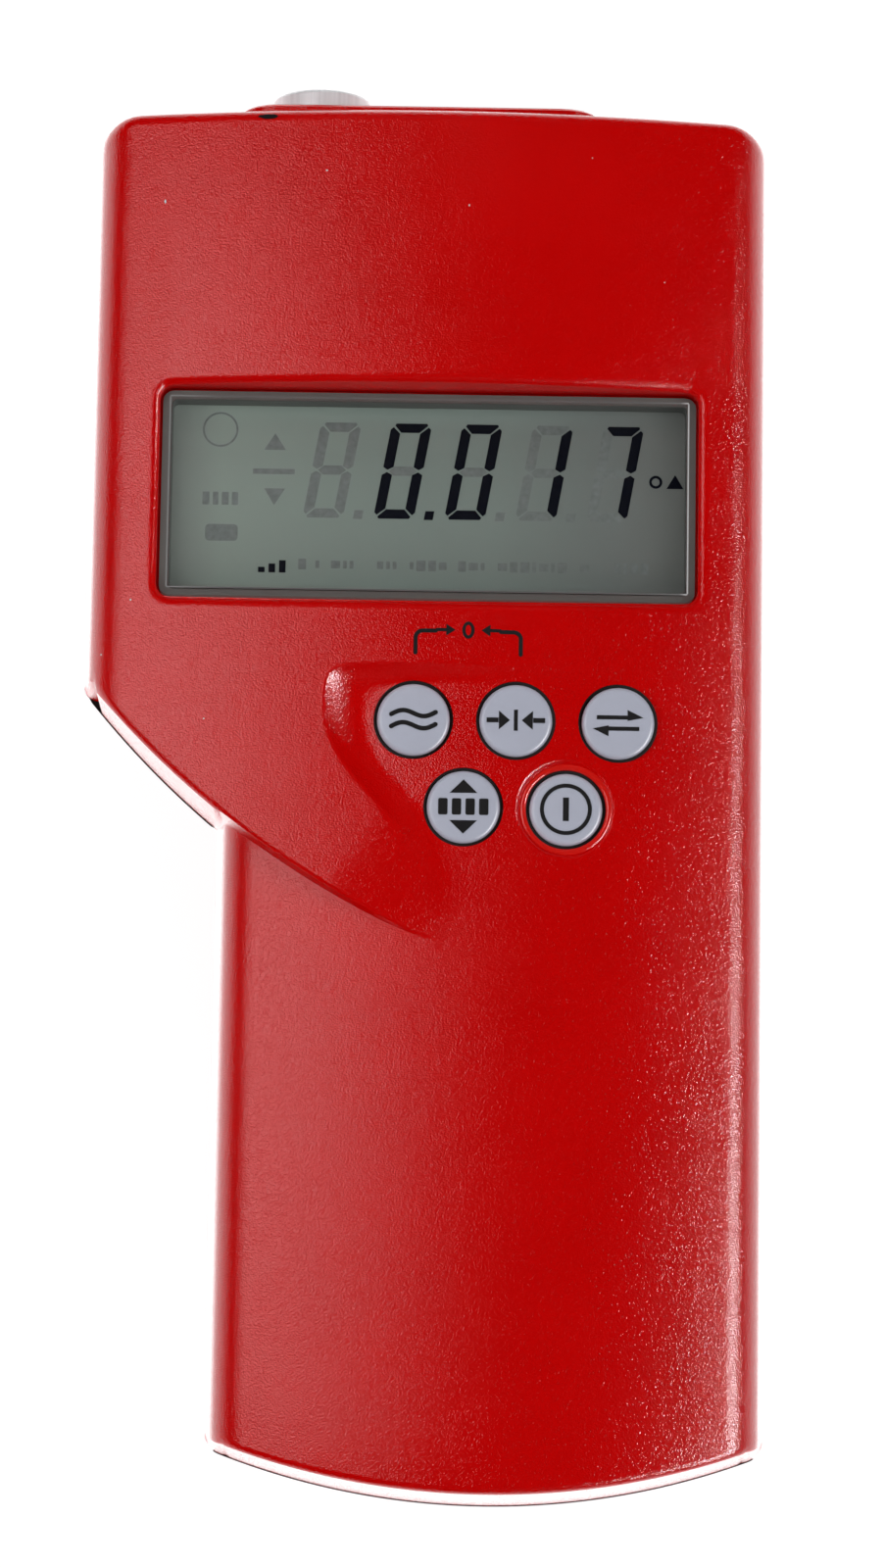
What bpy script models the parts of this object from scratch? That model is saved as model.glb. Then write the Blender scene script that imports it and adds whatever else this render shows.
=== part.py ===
"""Handheld digital manometer: red two-part case, display, five keys, one pressure port.

Metres. The instrument lies on its back: +X to the right seen from the front, +Y to the port
end, +Z out of the display. The origin is on the flat back, in the middle of the head's width.
"""

import math

import bmesh
import bpy

# Window and keypad, which the head is laid out round
WINDOW_X = 0.0
WINDOW_Y = 0.03797
PANE_WIDTH = 0.0687
PANE_HEIGHT = 0.0271
WINDOW_SIDE_MARGIN = 0.01015
WINDOW_TOP_MARGIN = 0.03770
KEYS_BELOW_WINDOW = 0.01632
KEY_TOP_ROW_Y = WINDOW_Y - PANE_HEIGHT / 2 - KEYS_BELOW_WINDOW

# Board and battery, which the handle is laid out round
BOARD_BELOW_KEYS = 0.0181
BOARD_BOTTOM_Y = KEY_TOP_ROW_Y - BOARD_BELOW_KEYS
BATTERY_LENGTH = 0.0485
BATTERY_BELOW_BOARD = 0.0140
BATTERY_TOP_Y = BOARD_BOTTOM_Y - BATTERY_BELOW_BOARD
BATTERY_BOTTOM_Y = BATTERY_TOP_Y - BATTERY_LENGTH
HANDLE_END_MARGIN = 0.0175

# Outline of the case at the parting line
HEAD_HALF_WIDTH = PANE_WIDTH / 2 + WINDOW_SIDE_MARGIN
HEAD_TOP_Y = WINDOW_Y + PANE_HEIGHT / 2 + WINDOW_TOP_MARGIN
TOP_CORNER = 0.0066
HANDLE_LEFT_X = -0.0267
HANDLE_BOTTOM_Y = BATTERY_BOTTOM_Y - HANDLE_END_MARGIN
BOTTOM_RADIUS = 0.096
BOTTOM_CORNER = 0.0032
SHOULDER_Y = 0.0142
SHOULDER_CORNER = 0.0022
STEP_RADIUS = 0.1205
STEP_TIP_X = 0.0
STEP_TIP_Y = -0.0205

# Depth and section of the two mouldings
PARTING_Z = 0.0150
SEAM = 0.0008
GASKET_THICKNESS = 0.0006
GASKET_INSET = 0.0001
WALL = 0.0022
INSIDE_COLUMNS = 9
HEAD_CROWN_Z = 0.0336
HEAD_CROWN_RADIUS = 0.165
SHARED_CROWN_INSET = 0.0075
SHARED_CROWN_X = HEAD_HALF_WIDTH - SHARED_CROWN_INSET
SIDE_DRAFT = math.radians(8)
SIDE_FILLET = 0.006
END_DRAFT = math.radians(4)
END_FILLET = 0.0018
REAR_DRAFT = math.radians(4)
REAR_FILLET = 0.0045

# Window and display
PANE_CORNER = 0.0014
PANE_THICKNESS = 0.0015
PANE_TOP_Z = 0.0293
PANE_BORDER = 0.0011
PANE_LEDGE = 0.0020
RIM_ROUND = 0.0012
LIP_SLOPE = math.tan(math.radians(13))
SEAL_THICKNESS = 0.0004
LCD_TOP_Z = 0.0249
LCD_THICKNESS = 0.0022
LCD_MARGIN = 0.0012
LCD_FRAME_WALL = 0.0018
CONNECTOR_WIDTH = 0.0022

# Keys
KEY_PITCH = 0.01297
KEY_ROW_PITCH = 0.01115
KEY_LEFT_X = -0.0014
KEY_DIAMETER = 0.0095
KEY_HOLE_CLEARANCE = 0.0003
KEY_PROUD = 0.0004
KEY_EDGE = 0.0004
KEY_FLANGE = 0.0009
KEY_FLANGE_THICKNESS = 0.0008
KEY_STEM_DIAMETER = 0.0050
KEY_STEM_LENGTH = 0.0030
KEY_TRAVEL = 0.0010
KEY_STOP_GAP = 0.0002
DISH_DIAMETER = 0.0138
DISH_FLOOR_DIAMETER = 0.0118
DISH_DEPTH = 0.0007
MAT_THICKNESS = 0.0010
MAT_MARGIN = 0.0022

# Keypad recess: the handle's surface carried up into the head
RECESS_LEFT_MARGIN = 0.0114
RECESS_LEFT_X = KEY_LEFT_X - RECESS_LEFT_MARGIN
RECESS_TOP_MARGIN = 0.0071
RECESS_TOP_Y = KEY_TOP_ROW_Y + RECESS_TOP_MARGIN
RECESS_SLANT_DROP = 0.0037
RECESS_SLANT_Y = KEY_TOP_ROW_Y - RECESS_SLANT_DROP
RECESS_SLANT = math.radians(-46)
RECESS_STEEP_DROP = 0.0176
RECESS_STEEP_Y = KEY_TOP_ROW_Y - RECESS_STEEP_DROP
RECESS_STEEP = math.radians(-74)
RECESS_CORNER = 0.0016
RECESS_BLEND = 0.4
RECESS_TOP_RUN = 0.0026
RECESS_LEFT_RUN = 0.0054
RECESS_LOW_RUN = 0.0032
RECESS_LOW_SPREAD = 0.12
RECESS_POWER = 1.6
TONGUE_REACH = 0.004
TONGUE_FADE = 0.018

# Circuit board
BOARD_TOP_Z = 0.0180
BOARD_THICKNESS = 0.0016
BOARD_SIDE_MARGIN = 0.0065
BOARD_HALF_WIDTH = HEAD_HALF_WIDTH - BOARD_SIDE_MARGIN
BOARD_TOP_MARGIN = 0.0127
BOARD_TOP_Y = HEAD_TOP_Y - BOARD_TOP_MARGIN
BOARD_TONGUE_INSET = 0.0132
BOARD_SHOULDER_DROP = 0.0107
CHIP_SIZE = 0.0140
CHIP_THICKNESS = 0.0016
HEADER_WIDTH = 0.0080
HEADER_LENGTH = 0.0060
HEADER_HEIGHT = 0.0055

# Pressure port and sensor
PORT_X = -0.0148
PORT_Z = 0.0216
PORT_BOSS_DIAMETER = 0.0128
PORT_HEIGHT = 0.0029
PORT_END_Y = HEAD_TOP_Y + PORT_HEIGHT
PORT_BORE_DIAMETER = 0.0086
PORT_BORE_DEPTH = 0.0080
PORT_STEM_DIAMETER = 0.0112
PORT_REACH = 0.0082
PORT_STEM_END_Y = HEAD_TOP_Y - PORT_REACH
PORT_CHAMFER = 0.0006
PORT_PASSAGE_DIAMETER = 0.0012
PAD_LEFT_X = -0.0253
PAD_RIGHT_X = 0.0217
PAD_PROUD = 0.0005
PAD_LOW_Z = 0.0162
PAD_HIGH_Z = 0.0288
PORT_SEAL_THICKNESS = 0.0005
NUT_ACROSS_FLATS = 0.0150
NUT_THICKNESS = 0.0030
BARB_DIAMETER = 0.0032
BARB_LENGTH = 0.0040
TUBE_WALL = 0.0008
SENSOR_SIZE = 0.0120
SENSOR_MARGIN = 0.0010
SENSOR_HEIGHT = 0.0075

# Battery compartment
BATTERY_WIDTH = 0.0265
BATTERY_THICKNESS = 0.0175
BATTERY_CORNER = 0.0004
BATTERY_CLEARANCE = 0.0010
SNAP_THICKNESS = 0.0035
SNAP_SIDE_INSET = 0.0010
SNAP_FACE_INSET = 0.0020
BATTERY_PAD_THICKNESS = 0.0020
DOOR_WIDTH = 0.0400
DOOR_CORNER = 0.0040
DOOR_THICKNESS = 0.0020
DOOR_END = 0.0095
DOOR_LEDGE_THICKNESS = 0.0020
DOOR_BOSS_HEIGHT = 0.0012
DOOR_SEAL_THICKNESS = 0.0006
DOOR_SEAL_WIDTH = 0.0018
LEAD_DIAMETER = 0.0012
LEAD_PITCH = 0.0032
LEAD_RISE = 0.0010

# Fasteners
CASE_SCREW_SHANK = 0.0026
CASE_SCREW_HEAD = 0.0054
CASE_SCREW_LENGTH = 0.0165
CASE_BOSS_DIAMETER = 0.0072
CASE_SCREW_SEAT_Z = 0.0075
CASE_SCREW_INSET = 0.0078
CASE_SCREW_BOTTOM_INSET = 0.0135
BOARD_SCREW_SHANK = 0.0020
BOARD_SCREW_HEAD = 0.0042
BOARD_SCREW_LENGTH = 0.0060
BOARD_SCREW_INSET = 0.0035
BOARD_SCREW_DROP = 0.0060
BOARD_LOW_SCREW_INSET = 0.0060
BOARD_LOW_SCREW_RISE = 0.0106
BOARD_BOSS_DIAMETER = 0.0056
DOOR_SCREW_LENGTH = 0.0050
DOOR_SCREW_SINK = 0.0012
SCREW_HEAD_THICKNESS = 0.0020
LOW_HEAD_THICKNESS = 0.0010
SCREW_CLEARANCE = 0.0003

GAP = 0.0003
SLACK = 0.0002
OVERCUT = 0.0010
LEAST_CORNER = 0.0005
LEAST_FILLET = 0.0010
LEAST_END_FILLET = 0.0006
EDGE_BREAK = 0.0003

CASE_SCREWS = (
    (-HEAD_HALF_WIDTH + CASE_SCREW_INSET, HEAD_TOP_Y - CASE_SCREW_INSET),
    (HEAD_HALF_WIDTH - CASE_SCREW_INSET, HEAD_TOP_Y - CASE_SCREW_INSET),
    (HANDLE_LEFT_X + CASE_SCREW_INSET, HANDLE_BOTTOM_Y + CASE_SCREW_BOTTOM_INSET),
    (HEAD_HALF_WIDTH - CASE_SCREW_INSET, HANDLE_BOTTOM_Y + CASE_SCREW_BOTTOM_INSET),
)
BOARD_SCREWS = (
    (-BOARD_HALF_WIDTH + BOARD_SCREW_INSET, BOARD_TOP_Y - BOARD_SCREW_DROP),
    (BOARD_HALF_WIDTH - BOARD_SCREW_INSET, BOARD_TOP_Y - BOARD_SCREW_DROP),
    (-BOARD_HALF_WIDTH + BOARD_LOW_SCREW_INSET, KEY_TOP_ROW_Y + BOARD_LOW_SCREW_RISE),
    (BOARD_HALF_WIDTH - BOARD_LOW_SCREW_INSET, KEY_TOP_ROW_Y + BOARD_LOW_SCREW_RISE),
)

HANDLE_MID_X = (HANDLE_LEFT_X + HEAD_HALF_WIDTH) / 2
HANDLE_CROWN_RADIUS = HEAD_CROWN_RADIUS * (SHARED_CROWN_X - HANDLE_MID_X) / SHARED_CROWN_X
FRONT_Z = PARTING_Z + SEAM / 2
REAR_Z = PARTING_Z - SEAM / 2
BATTERY_MID_X = HANDLE_MID_X


def circle_drop(radius, offset):
    """How far a circle of this radius has fallen at a distance from its highest point."""
    return radius - math.sqrt(radius * radius - offset * offset)


SHARED_CROWN_Z = HEAD_CROWN_Z - circle_drop(HEAD_CROWN_RADIUS, SHARED_CROWN_X)
HANDLE_CROWN_Z = SHARED_CROWN_Z + circle_drop(
    HANDLE_CROWN_RADIUS, SHARED_CROWN_X - HANDLE_MID_X
)


def step_centre():
    """Centre of the step's arc, which runs through the shoulder and the tongue's tip."""
    ax, ay = -HEAD_HALF_WIDTH, SHOULDER_Y
    bx, by = STEP_TIP_X, STEP_TIP_Y
    mid_x, mid_y = (ax + bx) / 2, (ay + by) / 2
    half = math.hypot(bx - ax, by - ay) / 2
    away = math.sqrt(STEP_RADIUS**2 - half**2) / (2 * half)
    return mid_x - (by - ay) * away, mid_y + (bx - ax) * away


STEP_X, STEP_Y = step_centre()
BOTTOM_CENTRE_Y = HANDLE_BOTTOM_Y + BOTTOM_RADIUS
KEYS = {
    "key_average": (KEY_LEFT_X, KEY_TOP_ROW_Y),
    "key_tare": (KEY_LEFT_X + KEY_PITCH, KEY_TOP_ROW_Y),
    "key_units": (KEY_LEFT_X + 2 * KEY_PITCH, KEY_TOP_ROW_Y),
    "key_leak": (KEY_LEFT_X + KEY_PITCH / 2, KEY_TOP_ROW_Y - KEY_ROW_PITCH),
    "key_power": (KEY_LEFT_X + KEY_PITCH * 3 / 2, KEY_TOP_ROW_Y - KEY_ROW_PITCH),
}


# Scene helpers
def clear_scene():
    for obj in list(bpy.data.objects):
        bpy.data.objects.remove(obj, do_unlink=True)


def new_collection(name):
    group = bpy.data.collections.new(name)
    bpy.context.scene.collection.children.link(group)
    return group


clear_scene()
PARTS = new_collection("handheld_manometer")
CUTTERS = new_collection("cutters")


def material(name, colour, roughness, metallic=0.0, alpha=1.0):
    """One Principled material, made once for each name."""
    found = bpy.data.materials.get(name)
    if found:
        return found
    made = bpy.data.materials.new(name)
    made.use_nodes = True
    shader = made.node_tree.nodes["Principled BSDF"]
    shader.inputs["Base Color"].default_value = (*colour, 1.0)
    shader.inputs["Roughness"].default_value = roughness
    shader.inputs["Metallic"].default_value = metallic
    shader.inputs["Alpha"].default_value = alpha
    made.diffuse_color = (*colour, alpha)
    return made


def red_plastic():
    return material("red_case_plastic", (0.47, 0.002, 0.002), 0.42)


def black_rubber():
    return material("black_rubber", (0.012, 0.012, 0.012), 0.6)


def steel():
    return material("zinc_plated_steel", (0.62, 0.62, 0.60), 0.35, 1.0)


def place(obj, finish, sharp=30):
    """Puts a finished object in the model, with its material and smooth round faces."""
    if finish:
        obj.data.materials.clear()
        obj.data.materials.append(finish)
    obj.data.shade_smooth()
    obj.data.set_sharp_from_angle(angle=math.radians(sharp))
    PARTS.objects.link(obj)
    return obj


def as_cutter(obj):
    obj.hide_render = True
    obj.display_type = "WIRE"
    CUTTERS.objects.link(obj)
    return obj


def mesh_object(name, points, faces):
    mesh = bpy.data.meshes.new(name)
    mesh.from_pydata(points, [], faces)
    mesh.update()
    return bpy.data.objects.new(name, mesh)


def triangulated(obj):
    """Splits faces that aren't flat, which a Boolean would read in its own way."""
    form = bmesh.new()
    form.from_mesh(obj.data)
    bmesh.ops.triangulate(form, faces=form.faces)
    form.to_mesh(obj.data)
    form.free()
    return obj


def boolean(obj, other, operation="DIFFERENCE"):
    change = obj.modifiers.new(other.name, "BOOLEAN")
    change.operation = operation
    change.object = other
    change.solver = "EXACT"


def baked(obj, name):
    """The object's evaluated mesh as a new plain mesh, so that copies can share it."""
    bpy.context.view_layer.update()
    graph = bpy.context.evaluated_depsgraph_get()
    mesh = bpy.data.meshes.new_from_object(obj.evaluated_get(graph))
    mesh.name = name
    return mesh


# Flat outlines
def arc(cx, cy, radius, start, end, steps):
    """Points on an arc, angles in degrees, both ends included."""
    turn = [math.radians(start + (end - start) * i / steps) for i in range(steps + 1)]
    return [(cx + radius * math.cos(a), cy + radius * math.sin(a)) for a in turn]


def rounded_rectangle(cx, cy, width, height, radius, steps=4):
    x, y = width / 2 - radius, height / 2 - radius
    corners = ((x, y, 0), (-x, y, 90), (-x, -y, 180), (x, -y, 270))
    points = []
    for dx, dy, start in corners:
        points += arc(cx + dx, cy + dy, radius, start, start + 90, steps)
    return points


def prism(name, outline, low, high):
    """A flat outline, anticlockwise from above, made solid between two heights."""
    count = len(outline)
    points = [(x, y, low) for x, y in outline] + [(x, y, high) for x, y in outline]
    faces = [list(range(count))[::-1], list(range(count, 2 * count))]
    for i in range(count):
        j = (i + 1) % count
        faces.append([i, j, count + j, count + i])
    return mesh_object(name, points, faces)


def loft(name, rings):
    """A closed solid through stacked rings of as many points each, lowest ring first."""
    count = len(rings[0])
    points = [point for ring in rings for point in ring]
    faces = [list(range(count))[::-1]]
    for level in range(len(rings) - 1):
        base = level * count
        for i in range(count):
            j = (i + 1) % count
            faces.append([base + i, base + j, base + count + j, base + count + i])
    faces.append(list(range(len(points) - count, len(points))))
    return mesh_object(name, points, faces)


def cylinders(name, places, radius, low, high, steps=24):
    """One mesh of upright cylinders that stand apart, used as a cutter."""
    form = bmesh.new()
    for x, y in places:
        made = bmesh.ops.create_cone(
            form, cap_ends=True, segments=steps, radius1=radius, radius2=radius, depth=high - low
        )
        bmesh.ops.translate(form, verts=made["verts"], vec=(x, y, (low + high) / 2))
    mesh = bpy.data.meshes.new(name)
    form.to_mesh(mesh)
    form.free()
    return bpy.data.objects.new(name, mesh)


def turned(name, profile, steps=32):
    """A profile of (radius, height), from the top down the outer side, turned about Z."""
    points = [(radius, 0.0, height) for radius, height in profile]
    edges = [(i, i + 1) for i in range(len(points) - 1)]
    if profile[0][0] > 0:
        edges.append((len(points) - 1, 0))
    mesh = bpy.data.meshes.new(name)
    mesh.from_pydata(points, edges, [])
    obj = bpy.data.objects.new(name, mesh)
    screw = obj.modifiers.new("turn", "SCREW")
    screw.axis = "Z"
    screw.steps = steps
    screw.render_steps = steps
    screw.use_merge_vertices = True
    screw.merge_threshold = 0.00001
    screw.use_smooth_shade = True
    return obj


def box(name, low, high):
    """A block between two corners."""
    outline = [(low[0], low[1]), (high[0], low[1]), (high[0], high[1]), (low[0], high[1])]
    return prism(name, outline, low[2], high[2])


# The case's outline
def corner_on_arc(x, radius, arc_x, arc_y, arc_radius):
    """Centre of a corner that rounds an upright edge at x into the lower side of an arc."""
    reach = arc_radius - radius
    return x, arc_y - math.sqrt(reach * reach - (x - arc_x) ** 2)


def turn_of(cx, cy, x, y):
    return math.degrees(math.atan2(y - cy, x - cx)) % 360


def case_outline(inset, steps=4):
    """The case's outline at the parting line, moved inwards, anticlockwise from above."""
    left, right = -HEAD_HALF_WIDTH + inset, HEAD_HALF_WIDTH - inset
    handle, top = HANDLE_LEFT_X + inset, HEAD_TOP_Y - inset
    corner = max(BOTTOM_CORNER - inset, LEAST_CORNER)
    top_corner = max(TOP_CORNER - inset, LEAST_CORNER)
    shoulder = max(SHOULDER_CORNER - inset, LEAST_CORNER)
    low = BOTTOM_RADIUS - inset
    step = STEP_RADIUS - inset
    ax, ay = corner_on_arc(handle + corner, corner, HANDLE_MID_X, BOTTOM_CENTRE_Y, low)
    bx, by = corner_on_arc(right - corner, corner, HANDLE_MID_X, BOTTOM_CENTRE_Y, low)
    sx, sy = corner_on_arc(left + shoulder, shoulder, STEP_X, STEP_Y, step)
    turn_a = turn_of(HANDLE_MID_X, BOTTOM_CENTRE_Y, ax, ay)
    turn_b = turn_of(HANDLE_MID_X, BOTTOM_CENTRE_Y, bx, by)
    turn_s = turn_of(STEP_X, STEP_Y, sx, sy)
    inner_y = STEP_Y - math.sqrt(step**2 - (handle - STEP_X) ** 2)
    turn_in = turn_of(STEP_X, STEP_Y, handle, inner_y)
    points = arc(ax, ay, corner, 180, turn_a, steps)
    points += arc(HANDLE_MID_X, BOTTOM_CENTRE_Y, low, turn_a, turn_b, 2 * steps)[1:-1]
    points += arc(bx, by, corner, turn_b, 360, steps)
    points += arc(right - top_corner, top - top_corner, top_corner, 0, 90, steps)
    points += arc(left + top_corner, top - top_corner, top_corner, 90, 180, steps)
    points += arc(sx, sy, shoulder, 180, turn_s, steps)
    points += arc(STEP_X, STEP_Y, step, turn_s, turn_in, steps)[1:]
    return points


# The front face, as heights over the outline
class Section:
    """A cross-section: drafted wall, round edge, crown, round edge, drafted wall."""

    def __init__(self, left, right, crown_x, crown_z, crown_radius, fillet, base):
        self.left, self.right = left, right
        self.crown_x, self.crown_radius = crown_x, crown_radius
        self.crown_z = crown_z
        self.fillet, self.base = fillet, base
        self.edges = [self.edge(left, 1), self.edge(right, -1)]

    def edge(self, x, inward):
        """The round edge's centre and where it meets the wall and the crown."""
        sine, cosine = math.sin(SIDE_DRAFT), math.cos(SIDE_DRAFT)
        centre_z = self.crown_z - self.crown_radius
        start_x = x + inward * cosine * self.fillet - self.crown_x
        start_z = self.base - sine * self.fillet - centre_z
        along = inward * sine * start_x + cosine * start_z
        reach = self.crown_radius - self.fillet
        rise = -along + math.sqrt(along**2 - start_x**2 - start_z**2 + reach**2)
        round_x = self.crown_x + start_x + inward * sine * rise
        round_z = centre_z + start_z + cosine * rise
        wall_x = x + inward * sine * rise
        crown_x = self.crown_x + (round_x - self.crown_x) * self.crown_radius / reach
        return wall_x, round_x, round_z, crown_x

    def height(self, x):
        for (wall_x, round_x, round_z, crown_x), foot, inward in zip(
            self.edges, (self.left, self.right), (1, -1)
        ):
            if inward * (x - wall_x) <= 0:
                return self.base + max(inward * (x - foot), 0) / math.tan(SIDE_DRAFT)
            if inward * (x - crown_x) < 0:
                return round_z + math.sqrt(self.fillet**2 - (x - round_x) ** 2)
        return self.crown_z - circle_drop(self.crown_radius, x - self.crown_x)

    def columns(self, side, steps):
        """Places across the wall and the round edge of one side, from the outside in."""
        wall_x, round_x, round_z, crown_x = self.edges[side]
        inward = 1 - 2 * side
        foot = (self.left, self.right)[side]
        found = [foot, foot + (wall_x - foot) * 0.2, foot + (wall_x - foot) * 0.5]
        start = math.acos(max(-1, min(1, inward * (round_x - wall_x) / self.fillet)))
        end = math.acos(max(-1, min(1, inward * (round_x - crown_x) / self.fillet)))
        for i in range(steps + 1):
            turn = start + (end - start) * i / steps
            found.append(round_x - inward * self.fillet * math.cos(turn))
        return found


class EndProfile:
    """How the front rises from an end wall, as a share of the full height."""

    def __init__(self, height, fillet):
        self.height, self.fillet = height, fillet
        self.wall_rise = height - fillet * (1 - math.sin(END_DRAFT))
        self.wall = self.wall_rise * math.tan(END_DRAFT)
        self.end = self.wall + fillet * math.cos(END_DRAFT)

    def share(self, distance):
        if distance >= self.end:
            return 1.0
        if distance <= self.wall:
            return max(distance, 0) / math.tan(END_DRAFT) / self.height
        return 1 - circle_drop(self.fillet, self.end - distance) / self.height

    def rows(self, steps):
        found = [0.0]
        for i in range(steps + 1):
            turn = END_DRAFT + (math.pi / 2 - END_DRAFT) * i / steps
            found.append(self.end - self.fillet * math.cos(turn))
        return found

    def distance(self, share):
        """The inverse of share, by halving."""
        low, high = 0.0, self.end
        for _ in range(40):
            middle = (low + high) / 2
            if self.share(middle) < share:
                low = middle
            else:
                high = middle
        return high


def smooth_step(value):
    value = max(0.0, min(1.0, value))
    return value * value * (3 - 2 * value)


def blend(values, ease):
    """The greatest value, eased where two are nearly equal."""
    most = max(values)
    return most + ease * math.log(sum(math.exp((value - most) / ease) for value in values))


def recess_rise(x, y):
    """How far up the keypad recess's slope a place is: 0 at its foot or below, 1 at its edge."""
    steep_x = RECESS_LEFT_X + (RECESS_STEEP_Y - RECESS_SLANT_Y) / math.tan(RECESS_SLANT)
    slant = (x - RECESS_LEFT_X) * math.sin(RECESS_SLANT)
    slant -= (y - RECESS_SLANT_Y) * math.cos(RECESS_SLANT)
    steep = (x - steep_x) * math.sin(RECESS_STEEP) - (y - RECESS_STEEP_Y) * math.cos(RECESS_STEEP)
    low_run = RECESS_LOW_RUN + RECESS_LOW_SPREAD * max(RECESS_SLANT_Y - y, 0)
    sides = [
        (y - RECESS_TOP_Y) / RECESS_TOP_RUN,
        (RECESS_LEFT_X - x) / RECESS_LEFT_RUN,
        -blend([-slant, -steep], RECESS_CORNER) / low_run,
    ]
    return min(max(blend(sides, RECESS_BLEND) + 1, 0), 1)


def raised_share(x, y):
    """1 on the head's raised face, 0 on the handle's face and in the keypad recess."""
    tip = (STEP_TIP_X + TONGUE_REACH - x) * 0.8 + (y - STEP_TIP_Y) * 0.6
    return recess_rise(x, y) ** RECESS_POWER * smooth_step(tip / TONGUE_FADE)


class FrontFace:
    """The front moulding's outer face, or with an inset the face of its inside."""

    def __init__(self, inset, base):
        self.inset, self.base = inset, base
        self.left, self.right = -HEAD_HALF_WIDTH + inset, HEAD_HALF_WIDTH - inset
        self.handle_left = HANDLE_LEFT_X + inset
        self.top = HEAD_TOP_Y - inset
        fillet = max(SIDE_FILLET - inset, LEAST_FILLET)
        self.end_fillet = max(END_FILLET - inset, LEAST_END_FILLET)
        head_z, handle_z = HEAD_CROWN_Z - inset, HANDLE_CROWN_Z - inset
        self.handle = Section(
            self.handle_left, self.right, HANDLE_MID_X, handle_z,
            HANDLE_CROWN_RADIUS - inset, fillet, base,
        )
        self.head = Section(
            self.left, self.right, 0.0, head_z, HEAD_CROWN_RADIUS - inset, fillet, base
        )
        self.shared_x = SHARED_CROWN_X * (1 - inset / HEAD_CROWN_RADIUS)
        self.head_end = EndProfile(head_z - base, self.end_fillet)
        self.handle_end = EndProfile(handle_z - base, self.end_fillet)

    def corner(self, radius):
        return max(radius - self.inset, LEAST_CORNER)

    def bottom_y(self, x):
        """The bottom edge's place at x, with its two corners."""
        corner, low = self.corner(BOTTOM_CORNER), BOTTOM_RADIUS - self.inset
        for centre, inward in ((self.handle_left + corner, 1), (self.right - corner, -1)):
            if inward * (x - centre) < 0:
                _, cy = corner_on_arc(centre, corner, HANDLE_MID_X, BOTTOM_CENTRE_Y, low)
                return cy - math.sqrt(max(corner**2 - (x - centre) ** 2, 0))
        return BOTTOM_CENTRE_Y - math.sqrt(low**2 - (x - HANDLE_MID_X) ** 2)

    def top_y(self, x):
        corner = self.corner(TOP_CORNER)
        over = max(self.left + corner - x, x - self.right + corner, 0)
        return self.top - circle_drop(corner, min(over, corner))

    def step_y(self, x, inner):
        """The step's arc at x, moved inwards by inner, with the shoulder's corner."""
        corner, radius = self.corner(SHOULDER_CORNER), STEP_RADIUS - self.inset - inner
        centre = self.left + corner
        if x < centre:
            _, cy = corner_on_arc(centre, corner, STEP_X, STEP_Y, radius)
            return cy - math.sqrt(max(corner**2 - (x - centre) ** 2, 0))
        return STEP_Y - math.sqrt(radius**2 - (x - STEP_X) ** 2)

    def handle_z(self, x):
        return self.handle.height(x)

    def head_z(self, x, y):
        """The face above the step, with the keypad recess in it."""
        if x >= self.shared_x:
            return self.handle.height(x)
        raised = self.head.height(x)
        if x <= self.handle.edges[0][3]:
            return raised
        plain = self.handle.height(x)
        return plain + (raised - plain) * raised_share(x, y)

    def rim_drop(self, x, y):
        """The rounding round the window recess."""
        if self.inset:
            return 0.0
        away = recess_edge_distance(x, y)
        if away >= RIM_ROUND:
            return 0.0
        return circle_drop(RIM_ROUND, RIM_ROUND - max(away, 0)) * 0.8

    def column(self, x, morph, levels, steps):
        """(handle rows, head rows) of one column, each row a point."""
        above = self.base
        ends = self.head_end
        inner_end = ends.end
        top_of_step = self.head_z(x, self.step_y(x, inner_end))
        low = self.base
        foot = 0.0
        handle_rows = []
        if x >= self.handle_left:
            low = self.handle_z(x)
            if top_of_step > above:
                foot = ends.distance((low - above) / (top_of_step - above))
            bottom = self.bottom_y(x)
            for distance in self.handle_end.rows(steps):
                z = above + (low - above) * self.handle_end.share(distance)
                handle_rows.append((x, bottom + distance, z))
        foot = min(foot, inner_end - LEAST_END_FILLET)
        head_rows = []
        wall = ends.rows(steps)
        shares = [(d - wall[0]) / (wall[-1] - wall[0]) for d in wall]
        for share in shares:
            inner = foot + (inner_end - foot) * share
            z = above + (top_of_step - above) * ends.share(inner)
            if share == 0.0:
                z = low
            head_rows.append((x, self.step_y(x, inner), max(z, low)))
        start = self.step_y(x, inner_end)
        top = self.top_y(x)
        for i in range(1, morph + 1):
            y = start + (levels[0] - start) * i / morph
            head_rows.append((x, y, self.head_z(x, y) - self.rim_drop(x, y)))
        for y in levels[1:]:
            head_rows.append((x, y, self.head_z(x, y) - self.rim_drop(x, y)))
        for distance in reversed(ends.rows(steps)):
            y = top - distance
            z = above + (self.head_z(x, y) - above) * ends.share(distance)
            head_rows.append((x, y, z))
        if x in (self.left, self.right):
            head_rows = [(px, py, above) for px, py, _ in head_rows]
            handle_rows = [(px, py, above) for px, py, _ in handle_rows]
        return handle_rows, head_rows

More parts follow.
